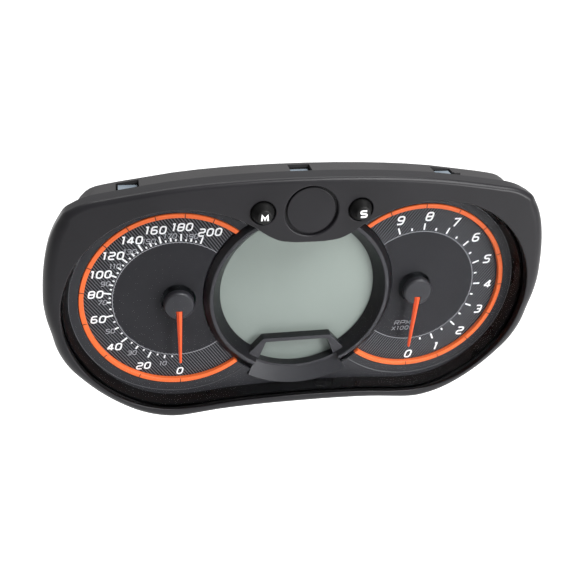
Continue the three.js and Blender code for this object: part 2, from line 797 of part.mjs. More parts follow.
function caseTub() {
  const rim = prism(caseWall, SKIRT_END + GAP, RIM_BACK);
  const tub = prism(offset(caseWall, -TUB_INSET), SKIRT_END + GAP, TUB_BACK);
  const front = prism(offset(caseWall, -WALL), -MOUNT_DEPTH, ledgeFront);
  const neck = prism(offset(caseWall, -WALL - LEDGE_WIDTH), -MOUNT_DEPTH, ledgeBack + 1);
  const rimWell = prism(offset(caseWall, -WALL), ledgeBack, RIM_BACK - REAR_WALL);
  const well = prism(offset(caseWall, -WALL - TUB_INSET), 0, TUB_BACK - REAR_WALL);
  const raised = box(
    0,
    (BOX_TOP + BOX_BOTTOM) / 2,
    2 * BOX_HALF_WIDTH,
    BOX_TOP - BOX_BOTTOM,
    TUB_BACK - 1,
    BOX_BACK,
  );
  const boxHollow = box(
    0,
    (BOX_TOP + BOX_BOTTOM) / 2,
    2 * (BOX_HALF_WIDTH - REAR_WALL),
    BOX_TOP - BOX_BOTTOM - 2 * REAR_WALL,
    0,
    BOX_BACK - REAR_WALL,
  );
  return cut(join(rim, tub, raised), front, neck, rimWell, well, boxHollow);
}

function rearHousing() {
  const columns = columnPlaces.map(([x, z]) =>
    rod(COLUMN_RADIUS, ledgeFront, RIM_BACK - 1, x, z),
  );
  const columnBores = columnPlaces.flatMap(([x, z]) => [
    rod(SCREW_RADIUS + GAP, -MOUNT_DEPTH, MOUNT_DEPTH, x, z),
    rod(SCREW_HEAD_RADIUS + 2 * GAP, headSeat, MOUNT_DEPTH, x, z),
  ]);
  const posts = boardScrewPlaces.map(([x, z]) =>
    rod(3.5, BOARD_FRONT + BOARD_THICK + GAP, TUB_BACK - 1, x, z),
  );
  const postBores = boardScrewPlaces.map(([x, z]) => rod(1.4 + GAP, 0, TUB_BACK - 0.6, x, z));
  const bosses = mountBossPlaces.map(([x, z]) =>
    rod(MOUNT_BOSS_RADIUS, TUB_BACK - 1, MOUNT_DEPTH, x, z, 16),
  );
  const insertBores = mountBossPlaces.map(([x, z]) =>
    rod(INSERT_RADIUS + GAP, MOUNT_DEPTH - INSERT_DEPTH, MOUNT_DEPTH + 1, x, z),
  );
  const pad = box(0, 0, 2 * PAD_HALF_WIDTH, 2 * PAD_HALF_HEIGHT, BOX_BACK - 1, MOUNT_DEPTH);
  const socket = box(
    connectorX,
    connectorZ,
    CONNECTOR_WIDTH + 2 * GAP,
    CONNECTOR_HEIGHT + 2 * GAP,
    0,
    2 * MOUNT_DEPTH,
  );
  const ventHole = rod(3.5 + GAP, 0, MOUNT_DEPTH, ventX, ventZ);
  const windows = tabRoom(LENS_FLANGE_BACK - 1, 7, 2);
  const ledges = tabBypass(ledgeFront, ledgeBack, LEDGE_WIDTH + GAP);
  const solids = join(caseTub(), ...columns, ...posts, ...bosses, ...ledges, pad);
  return cut(solids, socket, ventHole, ...columnBores, ...postBores, ...insertBores, ...windows);
}

function caseScrew() {
  const tip = SKIRT_END - 5;
  const head = rod(SCREW_HEAD_RADIUS, headSeat + GAP, headSeat + GAP + SCREW_HEAD);
  const slot = box(0, 0, 5, 0.9, headSeat + SCREW_HEAD - 0.8, MOUNT_DEPTH);
  return cut(join(head, rod(SCREW_RADIUS, tip, headSeat + 1)), slot);
}

function threadedInsert() {
  const front = MOUNT_DEPTH - INSERT_DEPTH + GAP;
  return tube(INSERT_RADIUS, INSERT_BORE, front, MOUNT_DEPTH, 0, 0, SMALL_ROUND);
}

const headerFront = BOARD_FRONT + BOARD_THICK + GAP;
const socketFloor = connectorBack - 16;

function connectorShell() {
  const shell = box(0, 0, CONNECTOR_WIDTH, CONNECTOR_HEIGHT, headerFront, connectorBack);
  const wall = 1.8;
  const width = CONNECTOR_WIDTH - 2 * wall;
  const height = CONNECTOR_HEIGHT - 2 * wall;
  const mouth = box(0, 0, width, height, socketFloor, connectorBack + 1);
  const latch = box(0, CONNECTOR_HEIGHT / 2, 8, 2 * wall + 1, connectorBack - 6, connectorBack - 3);
  return cut(shell, mouth, latch);
}

function connectorPins() {
  const base = box(0, 0, CONNECTOR_WIDTH - 5, CONNECTOR_HEIGHT - 6, socketFloor + GAP, socketFloor + 2);
  const pins = [];
  for (let column = 0; column < 8; column += 1) {
    for (const row of [-1, 1]) {
      pins.push(box((column - 3.5) * 4, row * 3, 1, 1, socketFloor + 1, socketFloor + 10));
    }
  }
  return join(base, ...pins);
}

function ventPlug() {
  return turned(
    [
      [0, BOX_BACK - 3],
      [3.5, BOX_BACK - 3],
      [3.5, BOX_BACK + GAP],
      [7, BOX_BACK + GAP],
      [7, BOX_BACK + 1.8],
      [6.2, BOX_BACK + 2.6],
      [0, BOX_BACK + 2.6],
    ],
    0,
    0,
    24,
  );
}

const boardRear = BOARD_FRONT + BOARD_THICK + GAP;

function processor() {
  return box(0, 0, 16, 16, boardRear, boardRear + 1.8);
}

function capacitor() {
  return rod(4, boardRear, boardRear + 9);
}

function buzzer() {
  return cut(rod(6, boardRear, boardRear + 7), rod(1, boardRear + 5, MOUNT_DEPTH));
}

function statusLamp() {
  return box(0, 0, 3, 2.6, BOARD_FRONT - GAP - 1.4, BOARD_FRONT - GAP);
}

// ---- assembly --------------------------------------------------------------------------
const cluster = new THREE.Group();
cluster.position.y = -MOUNT_DEPTH;

function place(name, made, finish, x = 0, z = 0, group = cluster) {
  const { vertProperties, triVerts } = made.getMesh();
  const geometry = new THREE.BufferGeometry();
  geometry.setAttribute("position", new THREE.BufferAttribute(vertProperties, 3));
  geometry.setIndex(new THREE.BufferAttribute(triVerts, 1));
  geometry.computeVertexNormals();
  const mesh = new THREE.Mesh(geometry, finish);
  mesh.name = name;
  mesh.position.set(x, 0, z);
  group.add(mesh);
}

function addFront() {
  place("front_bezel", frontBezel(), bezelBlack());
  place("clear_lens", clearLens(), clear());
  place("lens_gasket", lensGasket(), rubber());
  place("glare_shield", glareShield(), glossBlack());
  place("dial_mask", dialMask(), maskGrey());
  place("centre_plug", centrePlug(), bezelBlack(), -0.3, PLUG_Z);
  place("mode_button", buttonCap(), rubber(), -BUTTON_X, PLUG_Z);
  place("set_button", buttonCap(), rubber(), BUTTON_X, PLUG_Z);
  place("mode_switch", tactSwitch(), steel(), -BUTTON_X, PLUG_Z);
  place("set_switch", tactSwitch(), steel(), BUTTON_X, PLUG_Z);
  place("switch_board", switchBoard(), boardGreen());
  place("switch_ribbon", switchRibbon(), whitePlastic());
}

function addDisplay() {
  place("display_bezel", displayBezel(), maskGrey());
  place("display_glass", displayGlass(), lcdGrey());
  place("display_frame", displayFrame(), whitePlastic());
  place("display_diffuser", displayDiffuser(), whitePlastic());
  place("upper_contact_strip", contactStrip(1), rubber());
  place("lower_contact_strip", contactStrip(-1), rubber());
}

function addDial(name, side) {
  const dial = new THREE.Group();
  dial.position.x = side * DIAL_X;
  cluster.add(dial);
  place(name + "_dial_plate", dialPlate(side), dialGrey(), 0, 0, dial);
  place(name + "_dial_ring", dialRing(side), orange(), 0, 0, dial);
  place(name + "_light_guide", lightGuide(side), clear(), 0, 0, dial);
  place(name + "_gauge_motor", gaugeMotor(side), caseBlack(), 0, 0, dial);
  place(name + "_pointer_shaft", pointerShaft(), steel(), 0, 0, dial);
  const turning = new THREE.Group();
  turning.rotation.y = side > 0 ? -THREE.MathUtils.degToRad(RIGHT_REST) : 0;
  dial.add(turning);
  place(name + "_pointer", pointer(), needleOrange(), 0, 0, turning);
  place(name + "_hub_cap", hubCap(), hubBlack(), 0, 0, turning);
  place(name + "_dial_lamp", statusLamp(), whitePlastic(), side * 24, 28, dial);
}

function addBack() {
  place("circuit_board", circuitBoard(), boardGreen());
  place("rear_housing", rearHousing(), caseBlack());
  place("connector_shell", connectorShell(), rubber(), connectorX, connectorZ);
  place("connector_pins", connectorPins(), brass(), connectorX, connectorZ);
  place("vent_plug", ventPlug(), rubber(), ventX, ventZ);
  place("processor", processor(), rubber(), -30, -10);
  place("capacitor", capacitor(), steel(), -58, -22);
  place("buzzer", buzzer(), rubber(), 8, 26);
}

function addRepeats(name, places, make, finish) {
  places.forEach(([x, z], i) => place(name + "_" + (i + 1), make(), finish(), x, z));
}

addFront();
addDisplay();
addDial("left", -1);
addDial("right", 1);
addBack();
addRepeats("case_screw", columnPlaces, caseScrew, steel);
addRepeats("board_screw", boardScrewPlaces, boardScrew, steel);
addRepeats("mounting_insert", mountBossPlaces, threadedInsert, brass);

const part = new THREE.Group();
part.add(cluster);
export default part;
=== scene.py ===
"""Looks of a twin-dial instrument cluster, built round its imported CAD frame.

The helpers work in millimetres in the frame's own axes: X to the rider's right, Z up the dial,
and the face looks along -Y. Outlines are lists of 2D vectors (x, z), anticlockwise from the front.
"""

import functools
import json
import math

import bmesh
import bpy
from mathutils import Matrix, Vector
from mathutils.geometry import tessellate_polygon


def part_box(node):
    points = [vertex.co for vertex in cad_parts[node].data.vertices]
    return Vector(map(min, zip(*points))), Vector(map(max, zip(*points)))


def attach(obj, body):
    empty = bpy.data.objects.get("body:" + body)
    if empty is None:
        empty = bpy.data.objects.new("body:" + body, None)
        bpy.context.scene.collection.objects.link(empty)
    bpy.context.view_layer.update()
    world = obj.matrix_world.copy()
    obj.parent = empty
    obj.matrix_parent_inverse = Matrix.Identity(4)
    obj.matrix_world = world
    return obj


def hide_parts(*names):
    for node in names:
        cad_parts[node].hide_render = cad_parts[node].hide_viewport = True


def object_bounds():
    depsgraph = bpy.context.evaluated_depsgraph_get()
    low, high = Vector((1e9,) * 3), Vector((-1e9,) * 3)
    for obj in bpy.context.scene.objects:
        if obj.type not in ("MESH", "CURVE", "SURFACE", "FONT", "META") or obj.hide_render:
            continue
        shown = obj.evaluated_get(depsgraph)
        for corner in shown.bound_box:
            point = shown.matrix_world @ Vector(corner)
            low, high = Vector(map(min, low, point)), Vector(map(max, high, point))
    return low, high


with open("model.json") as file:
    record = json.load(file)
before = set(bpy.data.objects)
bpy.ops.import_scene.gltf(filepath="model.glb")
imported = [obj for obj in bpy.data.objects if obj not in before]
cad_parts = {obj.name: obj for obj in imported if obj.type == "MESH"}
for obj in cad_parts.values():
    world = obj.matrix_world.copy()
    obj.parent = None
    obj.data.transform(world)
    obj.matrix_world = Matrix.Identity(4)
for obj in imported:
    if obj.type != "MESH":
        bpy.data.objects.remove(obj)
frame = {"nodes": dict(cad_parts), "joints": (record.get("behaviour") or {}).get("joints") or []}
cad_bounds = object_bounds()

MM = 0.001


@functools.cache
def corners_of(node):
    return tuple(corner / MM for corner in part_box(node))


def low(node):
    return corners_of(node)[0]


def high(node):
    return corners_of(node)[1]


def middle(node):
    return (low(node) + high(node)) / 2


def half_width(node):
    return (high(node).x - low(node).x) / 2


# ---- places taken from the frame ----
HINGES = {j["child"]: Vector(j["pos_m"]) / MM for j in frame["joints"] if j["type"] == "hinge"}
DIALS = {"left": -1, "right": 1}
DIAL_X = HINGES["right_needle"].x
POD_RADIUS = half_width("display_bezel")
RING_Y = low("left_dial_ring").y
PLATE_Y = low("left_dial_plate").y
LENS_Y = low("clear_lens").y
SKIRT_Y = high("front_bezel").y
TOP_Z = high("front_bezel").z
GAP = 0.3  # clearance between visual pieces that stand side by side

# ---- driving sizes of the looks ----
FACE_TILT = 0.04  # the bezel face leans out by this share of its height
FACE_WALL = 1.8
ROUND_TOP = 2.5  # rounding of the bezel's outer edge
ROUND_SIDE = 7.2
ROUND_BOTTOM = 3.6
CAD_ROUND = 3.5
OPENING_ROUND = 0.7
OPENING_WALL = 1.2  # thickness of the return wall round the window
PLUG_FLANGE = 1.3  # how far the plug's hidden flange reaches beyond the hole
PLUG_RECESS = 0.9
BUTTON_HOLE = 6.8
GLARE_SLOPE = 3.1  # how far the glare wall's foot stands inside its front edge
TAB_PLACES = (-96, -4, 78)  # where snap tabs of the lens stand along the top
BOWL_RADIUS = 60.8  # shallow bowl in the mask round each dial
BOWL_DEPTH = 0.7
BEAD_RADIUS = 0.24
POD_LIP_OUTER = 53.4  # flat lip of the display surround, and its window
POD_LIP_INNER = 51.3
POD_WINDOW = 46.4
APRON_RADIUS = 60.5
APRON_HALF = 30.0  # half the apron's width in degrees
APRON_FOOT = 50.0
RIDGE_Z = -30.0  # top of the ridge between the two windows
RIDGE_WIDTH = 2.4
RING_RADIUS = 54.0
RING_WIDTH = 2.7
RING_ARC = (-39.0, 220.0)  # degrees from six o'clock, round the outer side
RING_EDGE = 0.35
INNER_DISC = 36.3
DISC_STEP = 0.25  # the hatched band stands this far in front of the middle disc
TICK_ROOT = 37.7  # radii where the scale's ticks start and end
LONG_TICK = 42.0
SHORT_TICK = 40.0
DOT_TICK = 38.9
TICK_WIDTH = 0.95
DIVIDER_HALF = 1.3  # a dividing line reaches this far to each side of the ring's middle
DIVIDER_WIDTH = 0.5
SPEED_KNEE = 70  # the speed scale is closer above this speed
KNEE_ANGLE = 91.8
LOW_RATE = 1.3115  # degrees for each unit of speed below the knee
TICK_RATE = 0.834  # and above it, for the ticks and for the ring's dividing lines
RING_RATE = 0.8477
INK = 0.07  # printed ink's thickness
NEEDLE_ROOT, NEEDLE_REACH, ROOT_WIDTH, TIP_WIDTH = 3.2, 38.3, 3.2, 1.4
RESTS = {"left": 0.0, "right": -2.3}  # degrees from straight down to where each needle rests
OUTLINE_STEPS = 360
ARC_STEPS = 5


# ---- outlines ----
def node_loops(node, y):
    """Closed outlines of a CAD node's walls where they end in the plane y, longest first."""
    mesh = frame["nodes"][node].data
    keys = [tuple(round(c / MM, 2) for c in v.co) for v in mesh.vertices]
    mesh.calc_loop_triangles()
    beside = {}
    for triangle in mesh.loop_triangles:
        here = [keys[i] for i in triangle.vertices if abs(keys[i][1] - y) < 0.03]
        if len(here) == 2 and here[0] != here[1]:
            beside.setdefault(here[0], set()).add(here[1])
            beside.setdefault(here[1], set()).add(here[0])
    loops = []
    while beside:
        start = next(iter(beside))
        loop = [start]
        while True:
            nearby = beside.pop(loop[-1], set())
            ahead = [point for point in nearby if point in beside]
            if not ahead:
                break
            loop.append(ahead[0])
        loops.append([Vector((x, z)) for x, _, z in loop])
    return sorted(loops, key=perimeter, reverse=True)


def perimeter(loop):
    return sum((loop[i] - loop[i - 1]).length for i in range(len(loop)))


def area(loop):
    return sum(loop[i - 1].x * loop[i].y - loop[i].x * loop[i - 1].y for i in range(len(loop))) / 2


def smooth_loop(loop):
    """A smooth curve through the loop's points, evenly stepped from its lowest middle point."""
    points = list(loop) if area(loop) > 0 else list(reversed(loop))
    start = min(range(len(points)), key=lambda i: abs(points[i].x) + 1000 * (points[i].y > 0))
    points = points[start:] + points[:start]
    count = len(points)
    spans = [(points[(i + 1) % count] - points[i]).length for i in range(count)]
    slopes = []
    for i in range(count):
        before, after = spans[i - 1], spans[i]
        back = (points[i] - points[i - 1]) / before
        ahead = (points[(i + 1) % count] - points[i]) / after
        slopes.append((back * after + ahead * before) / (before + after))
    fine = []
    per_span = 12
    for i in range(count):
        j = (i + 1) % count
        for k in range(per_span):
            t = k / per_span
            start_part = points[i] * (2 * t**3 - 3 * t**2 + 1) + slopes[i] * spans[i] * (t**3 - 2 * t**2 + t)
            end_part = points[j] * (3 * t**2 - 2 * t**3) + slopes[j] * spans[i] * (t**3 - t**2)
            fine.append(start_part + end_part)
    return even_loop(fine, OUTLINE_STEPS)


def even_loop(fine, steps):
    """The same outline with the given number of evenly spaced points."""
    total = perimeter(fine)
    made, travelled, target = [], 0.0, 0.0
    for i in range(len(fine)):
        a, b = fine[i], fine[(i + 1) % len(fine)]
        length = (b - a).length
        while len(made) < steps and target <= travelled + length:
            made.append(a.lerp(b, (target - travelled) / length))
            target += total / steps
        travelled += length
    return made


def normals(loop):
    count = len(loop)
    made = []
    for i in range(count):
        along = loop[(i + 1) % count] - loop[i - 1]
        made.append(Vector((along.y, -along.x)).normalized())
    return made


def offset(loop, distance):
    return [p + n * distance for p, n in zip(loop, normals(loop))]


def circle(radius, x, z, steps):
    turns = [i * 2 * math.pi / steps for i in range(steps)]
    return [Vector((x + radius * math.cos(t), z + radius * math.sin(t))) for t in turns]


def polar(radius, degrees, x=0.0):
    angle = math.radians(degrees)
    return Vector((x + radius * math.cos(angle), radius * math.sin(angle)))


def quarter(steps=ARC_STEPS):
    """Angles over a quarter turn, without its start."""
    return [math.pi / 2 * (k + 1) / steps for k in range(steps)]


def half_angle(far, near, across):
    """Degrees at the corner between two sides of a triangle, by the third side."""
    return math.degrees(math.acos((far**2 + near**2 - across**2) / (2 * far * near)))


def rounded(path, radius, closed=False):
    """The path with each corner replaced by a short curve."""
    count = len(path)
    points = [Vector(p) for p in path]
    made = []
    for i, corner in enumerate(points):
        if not closed and i in (0, count - 1):
            made.append(corner)
            continue
        before, after = points[i - 1], points[(i + 1) % count]
        start = corner + (before - corner).normalized() * min(radius, (before - corner).length / 2)
        end = corner + (after - corner).normalized() * min(radius, (after - corner).length / 2)
        for k in range(ARC_STEPS + 1):
            t = k / ARC_STEPS
            made.append(start * (1 - t) ** 2 + corner * 2 * t * (1 - t) + end * t**2)
    return made


# ---- meshes ----
class Shape:
    """Points in millimetres and the faces between them."""

    def __init__(self):
        self.points = []
        self.faces = []
        self.finishes = []

    def ring(self, loop, y):
        """Adds a loop of points. y is one depth, or one for each point."""
        first = len(self.points)
        depths = y if isinstance(y, list) else [y] * len(loop)
        self.points += [Vector((p.x, depth, p.y)) for p, depth in zip(loop, depths)]
        return list(range(first, len(self.points)))

    def face(self, corners, finish=0):
        self.faces.append(tuple(corners))
        self.finishes.append(finish)

    def strip(self, a, b, finish=0, closed=True):
        for i in range(len(a) if closed else len(a) - 1):
            j = (i + 1) % len(a)
            self.face((a[i], a[j], b[j], b[i]), finish)

    def strips(self, rings, finish=0):
        for a, b in zip(rings, rings[1:]):
            self.strip(a, b, finish)

    def fill(self, *rings):
        """Fills the first ring, with any further rings as holes."""
        flat = [[Vector((self.points[i].x, self.points[i].z, 0)) for i in ring] for ring in rings]
        order = [i for ring in rings for i in ring]
        for triangle in tessellate_polygon(flat):
            self.face([order[i] for i in triangle])

    def capped(self, rings):
        """Skins a row of rings and fills both ends."""
        self.strips(rings)
        self.fill(rings[0])
        self.fill(rings[-1])

    def loft(self, sections):
        """Skins a row of closed sections, each a list of 3D points, and caps both ends."""
        rings = []
        for section in sections:
            first = len(self.points)
            self.points += section
            rings.append(list(range(first, len(self.points))))
        self.strips(rings)
        self.face(rings[0])
        self.face(rings[-1])

    def rounded_front(self, loop, front, edge):
        """Rings over a plate's rounded front edge, from its flat face outwards."""
        rings = []
        for turn in [0.0] + quarter():
            inset = edge * (1 - math.sin(turn))
            rings.append(self.ring(offset(loop, -inset), front + edge * (1 - math.cos(turn))))
        return rings

    def lathe(self, profile, x, z, steps):
        """A profile of (radius, y) pairs turned about the Y axis. Radius 0 closes it."""
        rings = []
        for radius, y in profile:
            if radius < 1e-6:
                self.points.append(Vector((x, y, z)))
                rings.append([len(self.points) - 1])
            else:
                rings.append(self.ring(circle(radius, x, z, steps), y))
        for a, b in zip(rings, rings[1:]):
            if len(a) == 1:
                for i in range(len(b)):
                    self.face((a[0], b[(i + 1) % len(b)], b[i]))
            elif len(b) == 1:
                for i in range(len(a)):
                    self.face((b[0], a[i], a[(i + 1) % len(a)]))
            else:
                self.strip(a, b)

    def build(self, name, *materials):
        mesh = bpy.data.meshes.new(name)
        mesh.from_pydata([p * MM for p in self.points], [], self.faces)
        mesh.polygons.foreach_set("material_index", self.finishes)
        piece = bpy.data.objects.new(name, mesh)
        bpy.context.scene.collection.objects.link(piece)
        for made in materials:
            mesh.materials.append(made)
        outward(mesh)
        return piece


def placed(section, spot):
    """A section of (across, y) pairs, stood where spot puts each distance across."""
    spots = ((spot(across), y) for across, y in section)
    return [Vector((p.x, y, p.y)) for p, y in spots]


def turned(name, profile, x, z, steps, *materials):
    shape = Shape()
    shape.lathe(profile, x, z, steps)
    return shape.build(name, *materials)


def outward(mesh):
    """Joins doubled points and turns every face outwards."""
    work = bmesh.new()
    work.from_mesh(mesh)
    bmesh.ops.remove_doubles(work, verts=work.verts, dist=1e-7)
    bmesh.ops.recalc_face_normals(work, faces=work.faces)
    work.to_mesh(mesh)
    work.free()


def bake(piece):
    """Applies a piece's modifiers."""
    graph = bpy.context.evaluated_depsgraph_get()
    made = bpy.data.meshes.new_from_object(piece.evaluated_get(graph))
    piece.modifiers.clear()
    old = piece.data
    piece.data = made
    bpy.data.meshes.remove(old)


def combine(piece, other, operation="DIFFERENCE"):
    """A boolean of the piece with another one, which is used up."""
    step = piece.modifiers.new(operation, "BOOLEAN")
    step.operation = operation
    step.solver = "MANIFOLD"
    step.object = other
    bake(piece)
    bpy.data.objects.remove(other)


def soften(piece, width, angle=35, segments=3, applied=True):
    """Rounds a piece's sharp edges."""
    step = piece.modifiers.new("edges", "BEVEL")
    step.width = width * MM
    step.segments = segments
    step.limit_method = "ANGLE"
    step.angle_limit = math.radians(angle)
    if applied:
        bake(piece)


def shade(piece, angle=40):
    mesh = piece.data
    mesh.polygons.foreach_set("use_smooth", [True] * len(mesh.polygons))
    mesh.set_sharp_from_angle(angle=math.radians(angle))
    step = piece.modifiers.new("normals", "WEIGHTED_NORMAL")
    step.keep_sharp = True
    step.weight = 100


def settle(piece, body, slot, *nodes):
    """Rides the piece on a body and hides the CAD nodes it stands for. The slot argument is not used."""
    shade(piece)
    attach(piece, body)
    if nodes:
        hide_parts(*nodes)


# ---- materials ----
GRAZING_GLOSS = 0.5  # share of the light that clear plastic mirrors edge on
HATCH_PITCH = 1.5
HATCH_SLOPE = 55


class Nodes:
    """A material's node tree, with one Principled shader."""

    def __init__(self, name, colour, roughness, metallic=0.0, shine=0.5):
        self.material = bpy.data.materials.new(name)
        self.material.use_nodes = True
        self.tree = self.material.node_tree
        self.shader = self.tree.nodes["Principled BSDF"]
        inputs = self.shader.inputs
        inputs["Base Color"].default_value = (*colour, 1)
        inputs["Roughness"].default_value = roughness
        inputs["Metallic"].default_value = metallic
        inputs["Specular IOR Level"].default_value = shine

    def add(self, kind, **values):
        node = self.tree.nodes.new(kind)
        for key, value in values.items():
            if hasattr(node, key):
                setattr(node, key, value)
            else:
                node.inputs[key.replace("_", " ")].default_value = value
        return node

    def link(self, source, target):
        self.tree.links.new(source, target)

    def drive(self, name, source):
        self.link(source, self.shader.inputs[name])

    def axes(self):
        split = self.add("ShaderNodeSeparateXYZ")
        self.link(self.place(), split.inputs[0])
        return split.outputs

    def maths(self, operation, *values):
        node = self.add("ShaderNodeMath", operation=operation)
        for i, value in enumerate(values):
            if isinstance(value, (int, float)):
                node.inputs[i].default_value = value
            else:
                self.link(value, node.inputs[i])
        return node.outputs[0]

    def place(self):
        return self.add("ShaderNodeTexCoord").outputs["Object"]

    def noise(self, scale, detail=4.0):
        node = self.add("ShaderNodeTexNoise", Scale=scale, Detail=detail)
        self.link(self.place(), node.inputs["Vector"])
        return node.outputs["Fac"]

    def spread(self, factor, least, most, start=0.3, end=0.7):
        """Maps a factor between start and end to a value between least and most."""
        node = self.add("ShaderNodeMapRange", From_Min=start, From_Max=end, To_Min=least, To_Max=most)
        self.link(factor, node.inputs["Value"])
        return node.outputs["Result"]

    def blend(self, factor, first, second):
        node = self.add("ShaderNodeMix", data_type="RGBA")
        self.link(factor, node.inputs["Factor"])
        for socket, value in (("A", first), ("B", second)):
            target = next(i for i in node.inputs if i.name == socket and i.type == "RGBA")
            if isinstance(value, tuple):
                target.default_value = (*value, 1)
            else:
                self.link(value, target)
        return next(o for o in node.outputs if o.type == "RGBA")

    def bump(self, height, strength, distance):
        node = self.add("ShaderNodeBump", Strength=strength, Distance=distance)
        self.link(height, node.inputs["Height"])
        self.drive("Normal", node.outputs["Normal"])


def shifted(colour, factor):
    return tuple(min(1.0, c * factor) for c in colour)


def plastic(name, colour, roughness, grain=0.15, grain_scale=2600, variation=0.12, shine=0.3):
    """Moulded plastic: fine grain in the bump, and slow changes of tone and gloss."""
    made = Nodes(name, colour, roughness, shine=shine)
    slow = made.noise(28, detail=3)
    tone = made.blend(made.spread(slow, 0, 1), shifted(colour, 1 - variation), shifted(colour, 1 + variation))
    made.drive("Base Color", tone)
    made.drive("Roughness", made.spread(slow, roughness - 0.03, roughness + 0.04))
    if grain:
        made.bump(made.noise(grain_scale, detail=2), grain, 0.0001)
    return made.material


def metal(name, colour, roughness):
    """Plated or machined metal with fine streaks."""
    made = Nodes(name, colour, roughness, metallic=1.0)
    streaks = made.noise(900, detail=6)
    made.drive("Roughness", made.spread(streaks, roughness - 0.08, roughness + 0.14))
    made.drive("Base Color", made.blend(made.spread(made.noise(60), 0, 1), shifted(colour, 0.85), colour))
    made.bump(streaks, 0.1, 0.00005)
    return made.material


def printed(name, colour, roughness):
    """Screen-printed ink, very slightly uneven."""
    made = Nodes(name, colour, roughness, shine=0.25)
    worn = made.noise(420, detail=3)
    made.drive("Base Color", made.blend(made.spread(worn, 0, 1), shifted(colour, 0.93), colour))
    made.drive("Roughness", made.spread(worn, roughness, roughness + 0.08))
    return made.material


def clear(name, tint):
    """Clear plastic: what is behind shows through, and the surface mirrors at grazing angles."""
    made = Nodes(name, tint, 0.05)
    see = made.add("ShaderNodeBsdfTransparent", Color=(*tint, 1))
    gloss = made.add("ShaderNodeBsdfGlossy", Color=(1, 1, 1, 1), Roughness=0.03)
    edge = made.add("ShaderNodeLayerWeight", Blend=0.5)
    glance = made.maths("POWER", edge.outputs["Facing"], 4.0)
    mix = made.add("ShaderNodeMixShader")
    made.link(made.maths("MULTIPLY", glance, GRAZING_GLOSS), mix.inputs[0])
    made.link(see.outputs[0], mix.inputs[1])
    made.link(gloss.outputs[0], mix.inputs[2])
    out = next(n for n in made.tree.nodes if n.type == "OUTPUT_MATERIAL")
    made.link(mix.outputs[0], out.inputs["Surface"])
    return made.material


def dial_face(name, x, slope):
    """Charcoal dial print round x: a plain middle and a finely hatched outer band."""
    plain, line, ground = (0.015, 0.0145, 0.017), (0.1, 0.1, 0.11), (0.004, 0.004, 0.005)
    made = Nodes(name, plain, 0.5, shine=0.2)
    east, _, up = made.axes()
    across = made.maths("SUBTRACT", east, x * MM)
    squares = [made.maths("MULTIPLY", value, value) for value in (across, up)]
    radius = made.maths("SQRT", made.maths("ADD", *squares))
    tilt = math.radians(slope)
    shares = made.maths("MULTIPLY", east, math.sin(tilt)), made.maths("MULTIPLY", up, math.cos(tilt))
    turns = made.maths("MULTIPLY", made.maths("ADD", *shares), 2 * math.pi / (HATCH_PITCH * MM))
    wave = made.maths("SINE", turns)
    hatch = made.blend(made.spread(wave, 0, 1, -0.1, 0.9), ground, line)
    inside = made.maths("LESS_THAN", radius, INNER_DISC * MM)
    tone = made.blend(made.spread(made.noise(30, 2), 0, 1), shifted(plain, 0.9), shifted(plain, 1.1))
    made.drive("Base Color", made.blend(inside, hatch, tone))
    made.drive("Roughness", made.spread(made.noise(60, 2), 0.46, 0.54))
    ridges = made.maths("MULTIPLY", wave, made.maths("SUBTRACT", 1.0, inside))
    made.bump(ridges, 0.15, 0.00005)
    return made.material


def liquid_crystal():
    """Unlit display: grey green under a satin polariser, with a painted sheen that leaves it lighter at its
    upper right and a little darker at its lower left.
    """
    low_tone, high_tone = (0.2, 0.228, 0.207), (0.275, 0.31, 0.28)
    made = Nodes("liquid_crystal", high_tone, 0.3, shine=0.25)
    east, _, up = made.axes()
    # painted sheen: a tone ramp lighter towards the upper right
    drift = made.maths("ADD", up, made.maths("MULTIPLY", east, 0.5))
    painted_sheen = made.spread(drift, 0, 1, -0.05, 0.06)
    cloud = made.spread(made.noise(18, 2), -0.12, 0.12)
    made.drive("Base Color", made.blend(made.maths("ADD", painted_sheen, cloud), low_tone, high_tone))
    made.drive("Roughness", made.spread(made.noise(40, 2), 0.28, 0.34))
    return made.material


def circuit(name):
    """Green solder mask with faint copper tracks under it."""
    made = Nodes(name, (0.02, 0.13, 0.055), 0.4)
    tracks = made.add("ShaderNodeTexBrick", Scale=180.0)
    made.link(made.place(), tracks.inputs["Vector"])
    made.drive("Base Color", made.blend(tracks.outputs["Fac"], (0.016, 0.11, 0.045), (0.05, 0.2, 0.08)))
    made.drive("Roughness", made.spread(made.noise(300), 0.32, 0.5))
    return made.material


BEZEL = plastic("bezel_plastic", (0.0095, 0.009, 0.0108), 0.36, grain=0.25, grain_scale=1500, shine=0.24)
GLOSS = plastic("gloss_plastic", (0.003, 0.003, 0.0033), 0.28, grain=0.0, shine=0.12)
MASK = plastic("mask_plastic", (0.019, 0.0185, 0.0215), 0.42, grain=0.15, grain_scale=2200)
# painted highlight: the bead's plastic is far lighter than the mask, to stand for the light line along each
# bowl's rim
BEAD_HIGHLIGHT = plastic("bead_painted_highlight_plastic", (0.055, 0.055, 0.06), 0.3, grain=0.0, shine=0.5)
